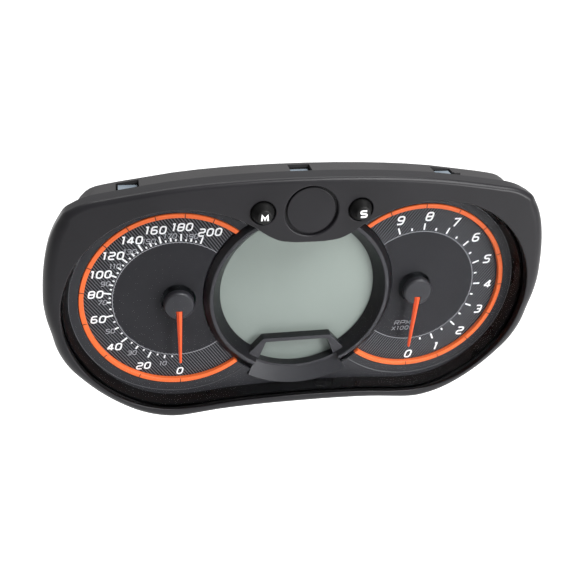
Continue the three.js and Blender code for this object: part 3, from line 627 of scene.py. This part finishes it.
# The display surround's plastic comes as two copies: this darker one paints shade on the faces that don't
# look forward, and the lighter one below is for its front faces.
POD_PAINTED_SHADE = plastic("pod_painted_shade_plastic", (0.007, 0.0068, 0.008), 0.34, grain=0.1, grain_scale=2400)
POD = plastic("pod_plastic", (0.029, 0.028, 0.032), 0.4, grain=0.12, grain_scale=2400)
HOUSING = plastic(
    "housing_plastic", (0.03, 0.029, 0.03), 0.46, grain=0.25, grain_scale=1300, variation=0.16
)
RUBBER = plastic("rubber", (0.005, 0.005, 0.005), 0.5, grain=0.2, grain_scale=1700, shine=0.2)
BLACK_PART = plastic("component_black", (0.014, 0.014, 0.015), 0.45, grain=0.15)
WHITE_PART = plastic("white_plastic", (0.72, 0.72, 0.69), 0.5, grain=0.1)
TAB = plastic("lens_tab_plastic", (0.16, 0.19, 0.22), 0.2, grain=0.0)
HUB = plastic("hub_plastic", (0.024, 0.0235, 0.027), 0.35, grain=0.1)
ORANGE = printed("orange_print", (0.84, 0.15, 0.036), 0.38)
WHITE_INK = printed("white_ink", (0.86, 0.86, 0.86), 0.4)
GREY_INK = printed("grey_ink", (0.33, 0.33, 0.35), 0.45)
DARK_INK = printed("dark_ink", (0.05, 0.022, 0.016), 0.5)
NEEDLE = printed("needle_orange", (0.88, 0.105, 0.03), 0.3)
LENS = clear("lens_clear", (0.975, 0.98, 0.985))
GUIDE = clear("guide_clear", (0.9, 0.92, 0.93))
LCD = liquid_crystal()
BOARD = circuit("solder_mask")
STEEL = metal("zinc_steel", (0.6, 0.61, 0.63), 0.32)
BRASS = metal("brass", (0.72, 0.52, 0.22), 0.3)
FACES = {
    name: dial_face(name + "_dial_print", side * DIAL_X, -side * HATCH_SLOPE) for name, side in DIALS.items()
}


# ---- lettering: each glyph is one or more strokes on a unit square ----
BOX = [(0, 0), (1, 0), (1, 1), (0, 1), (0, 0)]
GLYPHS = {
    "0": [BOX],
    "1": [[(0.42, 1), (0.78, 1), (0.78, 0)]],
    "2": [[(0, 1), (1, 1), (1, 0.5), (0, 0.5), (0, 0), (1, 0)]],
    "3": [[(0, 1), (1, 1), (1, 0), (0, 0)], [(0.3, 0.5), (1, 0.5)]],
    "4": [[(0.74, 0), (0.74, 1)], [(0.7, 1), (0, 0.3)], [(-0.06, 0.27), (1.12, 0.27)]],
    "5": [[(1, 1), (0, 1), (0, 0.54), (1, 0.54), (1, 0), (0, 0)]],
    "6": [[(0.92, 1), (0, 1), (0, 0), (1, 0), (1, 0.54), (0, 0.54)]],
    "7": [[(0, 1), (1, 1), (0.32, 0)]],
    "8": [BOX, [(0, 0.5), (1, 0.5)]],
    "9": [[(1, 0.46), (0, 0.46), (0, 1), (1, 1), (1, 0), (0.08, 0)]],
    "M": [[(0, 0), (0, 1), (0.5, 0.25), (1, 1), (1, 0)]],
    "P": [[(0, 0), (0, 1), (1, 1), (1, 0.42), (0, 0.42)]],
    "R": [[(0, 0), (0, 1), (1, 1), (1, 0.45), (0, 0.45)], [(0.5, 0.45), (1, 0)]],
    "S": [[(1, 1), (0, 1), (0, 0.5), (1, 0.5), (1, 0), (0, 0)]],
    "X": [[(0, 0), (1, 1)], [(0, 1), (1, 0)]],
}
ROUND_CORNERS = {"0": 0.3, "2": 0.22, "3": 0.25, "5": 0.22, "6": 0.28, "8": 0.25, "9": 0.28, "S": 0.3}
NARROW = {"1": 0.62}
STROKE_LIFT = 0.012  # keeps a letter's crossing strokes apart


def is_closed(path):
    return (path[0] - path[-1]).length < 1e-6


def stroke(shape, path, width, front, back):
    """A flat bar of even width along a path, from y = front to y = back."""
    closed = is_closed(path)
    points = path[:-1] if closed else path
    sides = ([], [])
    count = len(points)
    for i, point in enumerate(points):
        ahead = points[(i + 1) % count] - point if closed or i < count - 1 else None
        back_way = point - points[i - 1] if closed or i > 0 else None
        ahead = ahead if ahead is not None else back_way
        back_way = back_way if back_way is not None else ahead
        first = Vector((ahead.y, -ahead.x)).normalized()
        second = Vector((back_way.y, -back_way.x)).normalized()
        miter = (first + second) / max(0.5, 1 + first.dot(second))
        sides[0].append(point + miter * width / 2)
        sides[1].append(point - miter * width / 2)
    rings = [shape.ring(side, y) for y in (front, back) for side in sides]
    for a, b in ((0, 1), (1, 3), (3, 2), (2, 0)):
        shape.strip(rings[a], rings[b], closed=closed)
    if not closed:
        for end in (0, -1):
            shape.face([rings[k][end] for k in (0, 1, 3, 2)])


def write(shape, text, x, z, height, line, front, width=0.78, slant=0.2, spacing=0.14, thick=INK):
    """Writes text centred on (x, z). width, slant and spacing are shares of the height."""
    widths = [height * width * NARROW.get(c, 1.0) for c in text]
    gap = height * spacing
    cursor = x - (sum(widths) + gap * (len(text) - 1)) / 2
    for letter, wide in zip(text, widths):
        for number, path in enumerate(GLYPHS[letter]):
            inner_w, inner_h = height * width - line, height - line
            start = cursor + line / 2 - (height * width - wide)
            corners = [
                Vector((start + px * inner_w + slant * (pz - 0.5) * height, z + (pz - 0.5) * inner_h))
                for px, pz in path
            ]
            radius = ROUND_CORNERS.get(letter, 0.0) * height
            closed = is_closed(corners)
            if radius:
                loop = rounded(corners[:-1] if closed else corners, radius, closed)
                corners = loop + loop[:1] if closed else loop
            lift = number * STROKE_LIFT
            stroke(shape, corners, line, front - thick - lift, front - lift)
        cursor += wide + gap


# ---- bezel ----
def face_y(z):
    """Depth of the bezel's leaning face at a height."""
    return low("front_bezel").y + FACE_TILT * (TOP_Z - CAD_ROUND - z)


def leaning(loop, extra):
    return [face_y(p.y) + extra for p in loop]


def edge_round(normal):
    top = ROUND_TOP if normal.y > 0 else ROUND_BOTTOM
    return top * normal.y**2 + ROUND_SIDE * normal.x**2


def outer_rings(shape, outline):
    """Rings over the bezel's outer edge, from its face round the skirt's rear edge and inside."""
    ways = normals(outline)
    rounds = [edge_round(n) for n in ways]

    def arc(inner, turn):
        loop, depths = [], []
        for point, way, reach in zip(outline, ways, rounds):
            radius = max(reach - inner, 0.1)
            loop.append(point - way * (reach - radius * math.sin(turn)))
            depths.append(face_y((point - way * reach).y) + reach - radius * math.cos(turn))
        return shape.ring(loop, depths)

    turns = [0.0] + quarter(2 * ARC_STEPS)
    outer = [arc(0.0, t) for t in turns]
    lip = 0.4
    for inset, up in ((0, lip), (lip / 3, lip / 3), (lip, 0), (FACE_WALL, 0)):
        outer.append(shape.ring(offset(outline, -inset), SKIRT_Y - up))
    outer += [arc(FACE_WALL, t) for t in reversed(turns)]
    return outer


def hole_rings(shape, loop, edge, back=None):
    """Rings through a hole in the face: its rounded front edge, then its wall where it has one."""
    rings = []
    for turn in [0.0] + quarter():
        grown = offset(loop, edge * (1 - math.sin(turn)))
        rings.append(shape.ring(grown, leaning(grown, edge * (1 - math.cos(turn)))))
    if back is not None:
        outside = offset(loop, OPENING_WALL)
        rings.append(shape.ring(loop, back))
        rings.append(shape.ring(outside, back))
        rings.append(shape.ring(outside, leaning(outside, FACE_WALL)))
    else:
        rings.append(shape.ring(loop, leaning(loop, FACE_WALL)))
    return rings


def opening_loop():
    """The edge of the bezel's window: the smaller outline at the rear of its return wall."""
    loops = node_loops("front_bezel", LENS_Y - GAP)
    return smooth_loop(loops[1])


def make_bezel():
    outline = smooth_loop(node_loops("front_bezel", SKIRT_Y)[0])
    opening = opening_loop()
    plug = middle("centre_plug")
    buttons = [middle(name) for name in ("mode_button", "set_button")]
    plug_hole = half_width("centre_plug") - PLUG_FLANGE
    shape = Shape()
    outer = outer_rings(shape, outline)
    shape.strips(outer)
    window = hole_rings(shape, opening, OPENING_ROUND, LENS_Y - GAP)
    shape.strips(window[:ARC_STEPS])
    shape.strips(window[ARC_STEPS - 1:], finish=1)
    holes = [hole_rings(shape, circle(plug_hole, plug.x, plug.z, 128), 0.9)]
    for button in buttons:
        holes.append(hole_rings(shape, circle(BUTTON_HOLE, button.x, button.z, 72), 0.6))
    for rings in holes:
        shape.strips(rings)
    for end in (0, -1):
        shape.fill(*(rings[end] for rings in [outer, window] + holes))
    bezel = shape.build("bezel_shell", BEZEL, GLOSS)
    settle(bezel, "case", "bezel", "front_bezel")


def rounded_edge(radius, front, edge):
    """The start of a turned profile: a flat front and its rounded edge."""
    flat = radius - edge
    curve = [(flat + edge * math.sin(t), front + edge * (1 - math.cos(t))) for t in quarter()]
    return [(0, front), (flat, front)] + curve


def make_plug():
    """The blank plug above the display: a disc with a rounded edge and a hidden flange."""
    centre = middle("centre_plug")
    flange = half_width("centre_plug")
    radius = flange - PLUG_FLANGE - 1.3
    back = high("centre_plug").y
    step = back - 1.2
    profile = rounded_edge(radius, low("centre_plug").y + PLUG_RECESS, 0.5)
    profile += [(radius, step), (flange, step), (flange, back), (0, back)]
    settle(turned("plug_disc", profile, centre.x, centre.z, 128, BEZEL), "case", "bezel", "centre_plug")


def make_button(node, body, letter):
    """A rubber button: a coned shank with a softly rounded end, and a printed letter."""
    front, back = low(node).y, high(node).y
    centre = middle(node)
    flange = half_width(node)
    root, foot = 6.1, 2.5
    face = face_y(centre.z)
    profile = rounded_edge(4.0, front, 0.9)
    profile += [(5.0, face - 2.6), (5.7, face - 1.0), (root - 0.15, face - 0.2), (root, face + 0.5)]
    profile += [(root, back - 1.9), (flange, back - 1.9), (flange, back - 0.6)]
    profile += [(foot, back - 0.6), (foot, back), (0, back)]
    settle(turned(node + "_cap", profile, centre.x, centre.z, 72, RUBBER), body, "rubber", node)
    legend = Shape()
    write(legend, letter, centre.x, centre.z, 4.4, 1.0, front, width=0.95, slant=0.0, thick=0.05)
    settle(legend.build(node + "_letter", WHITE_INK), body, "white_plastic")


# ---- inside the window ----
def make_glare_wall():
    """Gloss black wall between the lens and the dial mask."""
    front, back = low("glare_shield").y, high("glare_shield").y
    outer = offset(opening_loop(), -GAP)
    inner = offset(outer, -0.9)
    foot = offset(outer, -GLARE_SLOPE)
    shape = Shape()
    sections = ((outer, front), (inner, front), (foot, back), (outer, back))
    rings = [shape.ring(loop, y) for loop, y in sections]
    shape.strips(rings + rings[:1])
    wall = shape.build("glare_wall", GLOSS)
    combine(wall, disc_cutter(high("display_bezel").x + GAP, 0, low("display_bezel").y - GAP, 0, 96))
    settle(wall, "case", "gloss_black", "glare_shield")


def make_lens():
    """Clear lens: a cup whose flange is clamped behind the bezel, with snap tabs along its top."""
    node = "clear_lens"
    front = low(node).y
    wall = 1.2
    plate_back = front + 1.7
    flange_back = low("lens_gasket").y - GAP
    flange_front = flange_back - 2.0
    inner = opening_loop()
    outer = offset(inner, wall)
    rim = smooth_loop(node_loops(node, flange_back)[0])
    shape = Shape()
    rings = shape.rounded_front(outer, front, 0.5)
    rings += [shape.ring(outer, flange_front), shape.ring(rim, flange_front), shape.ring(rim, flange_back)]
    rings += [shape.ring(inner, flange_back), shape.ring(inner, plate_back)]
    shape.capped(rings)
    settle(shape.build("lens_cup", LENS), "case", "lens", node)
    tabs = Shape()
    tab_back = high(node).y
    for x in TAB_PLACES:
        top = max(p.y for p in rim if abs(p.x - x) < 6)
        sides = [(-5, -2.1), (5, -2.1), (5, -0.3), (-5, -0.3)]
        loop = even_loop([Vector((x + across, top + up)) for across, up in sides], 60)
        rings = tabs.rounded_front(loop, flange_back + 0.05, 0.2)
        tabs.capped(rings + [tabs.ring(loop, tab_back)])
    settle(tabs.build("lens_tabs", TAB), "case", "lens")


def disc_cutter(radius, x, front, back, steps=192):
    return turned("cutter", [(0, front), (radius, front), (radius, back), (0, back)], x, 0, steps)


def prism(name, loop, front, back, *materials):
    shape = Shape()
    shape.capped([shape.ring(loop, front), shape.ring(loop, back)])
    return shape.build(name, *materials)


def apron_turns(extra=0.0, steps=48):
    """Directions across the apron, wider by extra degrees at each side."""
    half = APRON_HALF + extra
    return [-90 - half + 2 * half * i / steps for i in range(steps + 1)]


def clear_of_pod(piece, front, back):
    combine(piece, disc_cutter(POD_RADIUS + GAP, 0, front, back))


def make_mask():
    """The panel round the dials and the display, with a shallow bowl round each dial."""
    front, back = low("dial_mask").y, high("dial_mask").y
    outline = smooth_loop(node_loops("dial_mask", front)[0])
    mask = prism("mask_plate", outline, front, back, MASK)
    hole = RING_RADIUS + RING_WIDTH / 2 + GAP
    for side in DIALS.values():
        combine(mask, disc_cutter(hole, side * DIAL_X, front - 1, back + 1))
        reach = (BOWL_RADIUS - RING_RADIUS) / BOWL_DEPTH
        profile = [(0, front - 0.5), (BOWL_RADIUS + 0.5 * reach, front - 0.5)]
        profile += [(RING_RADIUS, front + BOWL_DEPTH), (0, front + BOWL_DEPTH)]
        combine(mask, turned("cutter", profile, side * DIAL_X, 0, 192))
    clear_of_pod(mask, front - 1, back + 1)
    reach = APRON_RADIUS + GAP
    sector = [Vector((0, -20))] + [polar(reach, t) for t in apron_turns(math.degrees(GAP / reach))]
    combine(mask, prism("cutter", sector, front - 1, back + 1))
    soften(mask, 0.35)
    settle(mask, "case", "mask", "dial_mask")
    for name, side in DIALS.items():
        make_bowl_edge(name, side * DIAL_X, front)


def make_bowl_edge(name, x, front):
    """Fine raised bead along the rim of a dial's bowl, in a much lighter plastic that paints the rim's
    highlight line.
    """
    section = [
        (BOWL_RADIUS + BEAD_RADIUS * math.cos(t), front - BEAD_RADIUS * math.sin(t))
        for t in (0, 0.8, 1.57, 2.34, math.pi)
    ]
    foot = front + 0.2
    section += [(BOWL_RADIUS - BEAD_RADIUS, foot), (BOWL_RADIUS + BEAD_RADIUS, foot), section[0]]
    made = turned(name + "_bowl_highlight_bead", section, x, 0, 256, BEAD_HIGHLIGHT)
    window = offset(opening_loop(), -GAP - GLARE_SLOPE)
    combine(made, prism("cutter", window, front - 5, front + 5), "INTERSECT")
    clear_of_pod(made, front - 5, front + 5)
    settle(made, "case", "mask")


def darken_sides(piece, limit):
    """Paints shade on the faces that don't look forward, by giving them the second, darker finish."""
    for face in piece.data.polygons:
        face.material_index = 1 if -face.normal.y < limit else 0


def cut_by_loop(piece, loop):
    combine(piece, prism("cutter", loop, RING_Y - 40, RING_Y + 40))


def ring_sector(inner, outer):
    """A stretch of ring about straight down, as wide as the apron."""
    turns = apron_turns()
    return [polar(outer, t) for t in turns] + [polar(inner, t) for t in reversed(turns)]


def make_pod():
    """Display surround: a coned ring, the ridge between the two windows, and the apron below."""
    front, back = low("display_bezel").y, high("display_bezel").y
    lip = front + 1
    outer = POD_RADIUS
    profile = [(POD_WINDOW, back), (POD_WINDOW, back - 0.6), (POD_LIP_INNER - 0.3, lip + 0.5)]
    profile += [(POD_LIP_INNER, lip + 0.1), (POD_LIP_INNER + 0.4, lip), (POD_LIP_OUTER - 0.4, lip)]
    profile += [(POD_LIP_OUTER, lip + 0.15), (outer - 0.3, lip + 3), (outer, lip + 3.5)]
    profile += [(outer, back), (POD_WINDOW, back)]
    ring = turned("display_surround", profile, 0, 0, 256, POD, POD_PAINTED_SHADE)
    cut_by_loop(ring, ring_sector(APRON_FOOT - 0.05, APRON_RADIUS + 1))
    cut_by_loop(ring, lower_window())
    soften(ring, 0.2, angle=40, segments=2)
    # painted shade on the surround's cone and outer side
    darken_sides(ring, 0.75)
    settle(ring, "case", "mask", "display_bezel")
    ridge = prism("display_ridge", ridge_outline(), RING_Y + 2.3, back - 0.1, POD, POD_PAINTED_SHADE)
    cut_by_loop(ridge, lower_window())
    soften(ridge, 0.45, angle=28)
    # painted shade on the ridge's sides
    darken_sides(ridge, 0.6)
    settle(ridge, "case", "mask")
    settle(make_apron(front, back), "case", "mask")


def make_apron(front, back):
    """The slope below the lower window, from the window's edge out to the mask."""
    edge = 0.3
    section = [(APRON_FOOT, back - 0.2), (APRON_FOOT, PLATE_Y + edge), (APRON_FOOT + edge, PLATE_Y)]
    section += [(APRON_RADIUS - edge, front), (APRON_RADIUS, front + edge), (APRON_RADIUS, PLATE_Y)]
    section += [(POD_LIP_OUTER, back - 0.2)]
    shape = Shape()
    shape.loft([placed(section, lambda radius: polar(radius, turn)) for turn in apron_turns(steps=96)])
    return shape.build("display_apron", MASK)


def ridge_outline():
    right = [(0, -52), (12, -50), (33, -45), (28, -38), (20.8, RIDGE_Z)]
    left = [(-x, z) for x, z in reversed(right[1:])]
    return [Vector(p) for p in right + left]


def lower_window():
    top = RIDGE_Z - RIDGE_WIDTH
    arc = [polar(APRON_FOOT, -118 + 2 * i) for i in range(29)]
    return [Vector((19, top)), Vector((-19, top))] + arc


# ---- dials ----
def outside_pod(radius, x, margin):
    """A dial's circle where it clears the display surround, closed by the surround's own arc."""
    keep = POD_RADIUS + margin
    far = abs(x)
    side = 1 if x > 0 else -1
    half = 180 - half_angle(far, radius, keep)
    notch = half_angle(far, keep, radius)
    arc = [polar(radius, -half + 2 * half * i / 180) for i in range(181)]
    inner = [polar(keep, notch - 2 * notch * i / 60) - Vector((far, 0)) for i in range(1, 60)]
    loop = [Vector((side * p.x + x, p.y)) for p in arc + inner]
    return loop if side > 0 else list(reversed(loop))


def make_dial(name, side):
    """A dial plate with a lowered middle disc, and everything that stands on it."""
    x = side * DIAL_X
    outer = RING_RADIUS + RING_WIDTH / 2 + 1.6
    back = high(name + "_dial_plate").y
    loop = outside_pod(outer, x, GAP)
    plate = prism(name + "_dial_face", loop, PLATE_Y - DISC_STEP, back, FACES[name], MASK)
    step = INNER_DISC + 0.3
    profile = [(0, PLATE_Y - 1), (step, PLATE_Y - 1), (step, PLATE_Y - DISC_STEP)]
    profile += [(INNER_DISC, PLATE_Y), (0, PLATE_Y)]
    combine(plate, turned("cutter", profile, x, 0, 192))
    combine(plate, disc_cutter(10.0, x, PLATE_Y - 1, back + 1, 96))
    soften(plate, 0.12, angle=50, segments=2)
    settle(plate, "case", "dial_face", name + "_dial_plate")
    make_ring(name, side)
    make_marks(name, side)
    make_hub(name, side)
    make_needle(name, side)


def scale_point(side, radius, degrees):
    """A point on a dial, by its angle from six o'clock round the outer side."""
    return polar(radius, -90 + side * degrees, side * DIAL_X)


def make_ring(name, side):
    """The orange ring, with chamfered edges, ending at the display surround."""
    half = RING_WIDTH / 2
    front, back = RING_Y, high(name + "_dial_ring").y
    steps = 220
    start, end = RING_ARC
    section = [(-half, back), (-half, front + RING_EDGE), (-half + RING_EDGE, front)]
    section += [(half - RING_EDGE, front), (half, front + RING_EDGE), (half, back)]
    turns = [start + (end - start) * i / steps for i in range(steps + 1)]
    shape = Shape()
    shape.loft([placed(section, lambda a: scale_point(side, RING_RADIUS + a, turn)) for turn in turns])
    ring = shape.build(name + "_scale_ring", ORANGE)
    clear_of_pod(ring, front - 5, back + 5)
    settle(ring, "case", "dial_ring", name + "_dial_ring")


def speed_angle(value, rate=TICK_RATE):
    """Degrees round the left dial for a speed: an even scale, then a closer one above the knee."""
    return LOW_RATE * value if value <= SPEED_KNEE else KNEE_ANGLE + rate * (value - SPEED_KNEE)


def rev_angle(value):
    return 1.5 + 22.07 * value


def bar(shape, side, start, end, degrees, width, front, thick=INK):
    path = [scale_point(side, start, degrees), scale_point(side, end, degrees)]
    stroke(shape, path, width, front - thick, front)


def divider(shape, side, degrees):
    """A dark line across the orange ring."""
    start, end = RING_RADIUS - DIVIDER_HALF, RING_RADIUS + DIVIDER_HALF
    bar(shape, side, start, end, degrees, DIVIDER_WIDTH, RING_Y, 0.04)


def make_marks(name, side):
    """Ticks, numbers and the ring's dividing lines."""
    white, grey, dark = Shape(), Shape(), Shape()
    ground = PLATE_Y - DISC_STEP
    if name == "left":
        for value in range(5, 200, 5):
            end = LONG_TICK if value % 20 == 0 else SHORT_TICK if value % 10 == 0 else DOT_TICK
            width = TICK_WIDTH if value % 10 == 0 else 0.85
            bar(white, side, TICK_ROOT, end, speed_angle(value), width, ground)
        bar(white, side, TICK_ROOT, LONG_TICK, speed_angle(200), TICK_WIDTH, ground)
        for value in range(0, 201, 20):
            divider(dark, side, speed_angle(value, RING_RATE))
            write(white, str(value), *speed_number(value), 5.0, 0.86, ground)
        for value in range(10, 200, 20):
            angle = speed_angle(value)
            radius = 42.4 + 1.4 * math.cos(math.radians(angle))
            write(grey, str(value), *scale_point(side, radius, angle), 3.1, 0.4, ground)
    else:
        for half in range(1, 19):
            end = LONG_TICK if half % 2 == 0 else SHORT_TICK - 0.4
            bar(white, side, TICK_ROOT + 0.2, end, rev_angle(half / 2), TICK_WIDTH, ground)
        for value in range(0, 10):
            divider(dark, side, 22.5 * value)
            angle = 2.2 + 21.65 * value
            radius = 47.6 + 1.2 * math.cos(math.radians(angle))
            write(white, str(value), *scale_point(side, radius, angle), 5.8, 0.98, ground)
        write(grey, "RPM", DIAL_X - 4.4, -25.2, 3.0, 0.34, PLATE_Y, width=0.95, spacing=0.3)
        write(grey, "X1000", DIAL_X - 4.0, -29.2, 2.7, 0.3, PLATE_Y, width=0.85, spacing=0.3)
    # painted highlight: a thin grey line along the edge of the step between the hatched band and the middle
    # disc
    stroke(grey, inner_edge(side), 0.3, ground - 0.03, ground)
    settle(white.build(name + "_white_print", WHITE_INK), "case", "white_plastic")
    settle(grey.build(name + "_grey_print", GREY_INK), "case", "white_plastic")
    settle(dark.build(name + "_ring_lines", DARK_INK), "case", "dial_ring")


def inner_edge(side):
    """The middle disc's edge, as far as the display surround leaves it free."""
    radius = INNER_DISC + 0.6
    start = half_angle(DIAL_X, radius, POD_RADIUS + GAP) - 90
    steps = 150
    return [scale_point(side, radius, start + (180 - 2 * start) * i / steps) for i in range(steps + 1)]


def speed_number(value):
    """Centre of a main number on the left dial, shifted so that it clears its tick."""
    angle = speed_angle(value)
    shift = 0.0
    if 70 < angle < 180:
        shift = -2.2 * math.sin(math.pi * (angle - 70) / 110)
    elif angle >= 180:
        shift = 0.17 * (angle - 180)
    low_half = max(0.0, math.cos(math.radians(angle)))
    return scale_point(-1, 46.1 + 2.7 * low_half**2, angle + shift)


def make_hub(name, side):
    """Hub cap: a hollow chamfered cap, slotted where the needle passes."""
    node = name + "_hub_cap"
    front, back = low(node).y, high(node).y
    radius = half_width(node)
    chamfer = 0.9
    profile = [(0, front), (radius - chamfer - 0.3, front), (radius - chamfer, front + 0.12)]
    profile += [(radius - 0.2, front + chamfer), (radius, front + chamfer + 0.4)]
    profile += [(radius, back), (radius - 1.4, back), (radius - 1.4, front + 1.4), (0, front + 1.4)]
    cap = turned(name + "_hub", profile, side * DIAL_X, 0, 128, HUB)
    turn = needle_turn(name)
    slot = prism("cutter", [turn(p) for p in needle_outline(GAP)], front - 2, front + 1.7)
    combine(cap, slot)
    settle(cap, name + "_needle", "hub_cap", node)


def needle_outline(grow):
    root, tip = ROOT_WIDTH / 2 + grow, TIP_WIDTH / 2 + grow
    start, end = grow - NEEDLE_ROOT, -NEEDLE_REACH - grow
    return [Vector((-root, start)), Vector((-tip, end)), Vector((tip, end)), Vector((root, start))]


def needle_turn(name):
    """Moves a point drawn for a needle that hangs straight down to that needle's rest."""
    side = DIALS[name]
    angle = math.radians(RESTS[name] * side)

    def turn(point):
        c, s = math.cos(angle), math.sin(angle)
        return Vector((point.x * c - point.y * s + side * DIAL_X, point.x * s + point.y * c))

    return turn


def make_needle(name, side):
    """The pointer: a blade with a roof-shaped front, on its carrier disc."""
    node = name + "_pointer"
    front, back = low(node).y, high(node).y
    turn = needle_turn(name)
    blade_back = front + 1.8
    ridge, edge = 0.07, 0.95  # the roof's flat top as a share of the width, and its drop
    stations = [(NEEDLE_ROOT, ROOT_WIDTH / 2), (NEEDLE_ROOT + 0.5, ROOT_WIDTH / 2)]
    stations += [(NEEDLE_REACH - 0.5, TIP_WIDTH / 2 + 0.02), (NEEDLE_REACH, TIP_WIDTH / 2 - 0.15)]
    sections = []
    for number, (reach, half) in enumerate(stations):
        dip = 0.45 if number in (0, len(stations) - 1) else 0.0
        section = [(-half, blade_back), (-half, front + edge + dip), (-ridge * half, front + dip)]
        section += [(ridge * half, front + dip), (half, front + edge + dip), (half, blade_back)]
        sections.append(placed(section, lambda across: turn(Vector((across, -reach)))))
    shape = Shape()
    shape.loft(sections)
    blade = shape.build(name + "_needle_blade", NEEDLE)
    soften(blade, 0.08, angle=20, segments=2)
    settle(blade, name + "_needle", "pointer", node)
    disc_front = low(name + "_hub_cap").y + 2
    ring = [(1.3, disc_front), (5.6, disc_front), (5.6, back), (1.3, back), (1.3, disc_front)]
    carrier = turned(name + "_needle_carrier", ring, side * DIAL_X, 0, 96, NEEDLE)
    settle(carrier, name + "_needle", "pointer")


# ---- CAD nodes that stay ----
def finish_node(node, material, rounding):
    """Gives a CAD node its finish and, where it shows, rounded edges."""
    piece = frame["nodes"][node]
    piece.data.materials.clear()
    piece.data.materials.append(material)
    if rounding:
        weld = piece.modifiers.new("weld", "WELD")
        weld.merge_threshold = 0.01 * MM
        flat = piece.modifiers.new("flats", "DECIMATE")
        flat.decimate_type = "DISSOLVE"
        flat.angle_limit = math.radians(1.0)
        soften(piece, rounding, angle=32, segments=2, applied=False)
    shade(piece, 35)


FINISHES = [
    (HOUSING, 0.6, ["rear_housing"]),
    (RUBBER, 0.0, ["lens_gasket", "upper_contact_strip", "lower_contact_strip"]),
    (LCD, 0.0, ["display_glass"]),
    (GUIDE, 0.0, ["left_light_guide", "right_light_guide"]),
    (BLACK_PART, 0.4, ["connector_shell", "left_gauge_motor", "right_gauge_motor"]),
    (BLACK_PART, 0.3, ["vent_plug"]),
    (BLACK_PART, 0.0, ["mode_switch", "set_switch", "processor", "buzzer"]),
    (BRASS, 0.15, ["connector_pins"]),
    (BRASS, 0.2, [f"mounting_insert_{n}" for n in range(1, 5)]),
    (STEEL, 0.25, [f"case_screw_{n}" for n in range(1, 5)]),
    (STEEL, 0.0, [f"board_screw_{n}" for n in range(1, 5)]),
    (STEEL, 0.0, ["left_pointer_shaft", "right_pointer_shaft", "capacitor"]),
    (BOARD, 0.0, ["switch_board", "circuit_board"]),
    (WHITE_PART, 0.0, ["left_dial_lamp", "right_dial_lamp"]),
    (WHITE_PART, 0.0, ["switch_ribbon", "display_frame", "display_diffuser"]),
]


# ---- stage ----
CAMERA_PLACE = Vector((-0.0968, -0.4458, 0.2369))
CAMERA_AHEAD = Vector((0.188, 0.852, -0.488))
CAMERA_UP = Vector((0.056, 0.487, 0.872))
LENS_LENGTH = 51.0
SENSOR_WIDTH = 36.0
FLOOR_DROP = 0.32  # metres from the object's lowest point down to the floor
FLOOR_GLOW = (0.15, 0.75)  # the floor's own light in front of the object and behind it
AMBIENT = 0.5


def make_camera():
    data = bpy.data.cameras.new("camera")
    data.lens = LENS_LENGTH
    data.sensor_width = SENSOR_WIDTH
    camera = bpy.data.objects.new("camera", data)
    bpy.context.scene.collection.objects.link(camera)
    back = -CAMERA_AHEAD.normalized()
    right = CAMERA_UP.cross(back).normalized()
    up = back.cross(right)
    turn = Matrix((right, up, back)).transposed().to_4x4()
    camera.matrix_world = Matrix.Translation(CAMERA_PLACE) @ turn
    bpy.context.scene.camera = camera


def soft_light(name, place, target, size, power):
    """A rectangular studio light that isn't itself in the picture."""
    data = bpy.data.lights.new(name, "AREA")
    data.shape = "RECTANGLE"
    data.size, data.size_y = size
    data.energy = power
    light = bpy.data.objects.new(name, data)
    bpy.context.scene.collection.objects.link(light)
    light.visible_camera = False
    light.location = place
    light.rotation_euler = (Vector(target) - Vector(place)).to_track_quat("-Z", "Y").to_euler()


def make_floor():
    """A pale paper floor with a soft light of its own, fainter in front."""
    half = 6.0
    z = cad_bounds[0][2] - FLOOR_DROP
    corners = [(-half, -half, z), (half, -half, z), (half, half, z), (-half, half, z)]
    shape = bpy.data.meshes.new("floor")
    shape.from_pydata(corners, [], [(0, 1, 2, 3)])
    floor = bpy.data.objects.new("floor", shape)
    bpy.context.scene.collection.objects.link(floor)
    made = Nodes("floor_paper", (0.8, 0.8, 0.8), 0.8, shine=0.0)
    tones = (0.79, 0.79, 0.79), (0.81, 0.81, 0.81)
    made.drive("Base Color", made.blend(made.spread(made.noise(4), 0, 1), *tones))
    made.shader.inputs["Emission Color"].default_value = (1, 1, 1, 1)
    made.drive("Emission Strength", made.spread(made.axes()[1], *FLOOR_GLOW, -0.45, 0.05))
    made.material.cycles.emission_sampling = "NONE"
    shape.materials.append(made.material)


def make_lights():
    world = bpy.data.worlds.new("studio")
    bpy.context.scene.world = world
    world.use_nodes = True
    sky = world.node_tree.nodes["Background"]
    sky.inputs["Color"].default_value = (1, 1, 1, 1)
    sky.inputs["Strength"].default_value = AMBIENT
    soft_light("key", (0.45, -0.45, 0.8), (0, 0, 0), (0.7, 0.5), 14)
    soft_light("top", (0.0, 0.35, 0.8), (0, -0.03, 0.02), (0.9, 0.5), 5)
    soft_light("side", (0.8, -1.0, 0.1), (0.08, -0.05, 0.03), (0.5, 0.4), 12)
    bpy.context.scene.view_settings.view_transform = "Standard"


make_camera()
make_floor()
make_lights()
make_bezel()
make_plug()
make_button("mode_button", "mode_key", "M")
make_button("set_button", "set_key", "S")
make_glare_wall()
make_lens()
make_mask()
make_pod()
for dial_name, dial_side in DIALS.items():
    make_dial(dial_name, dial_side)
for finish, edge_radius, node_names in FINISHES:
    for node_name in node_names:
        finish_node(node_name, finish, edge_radius)
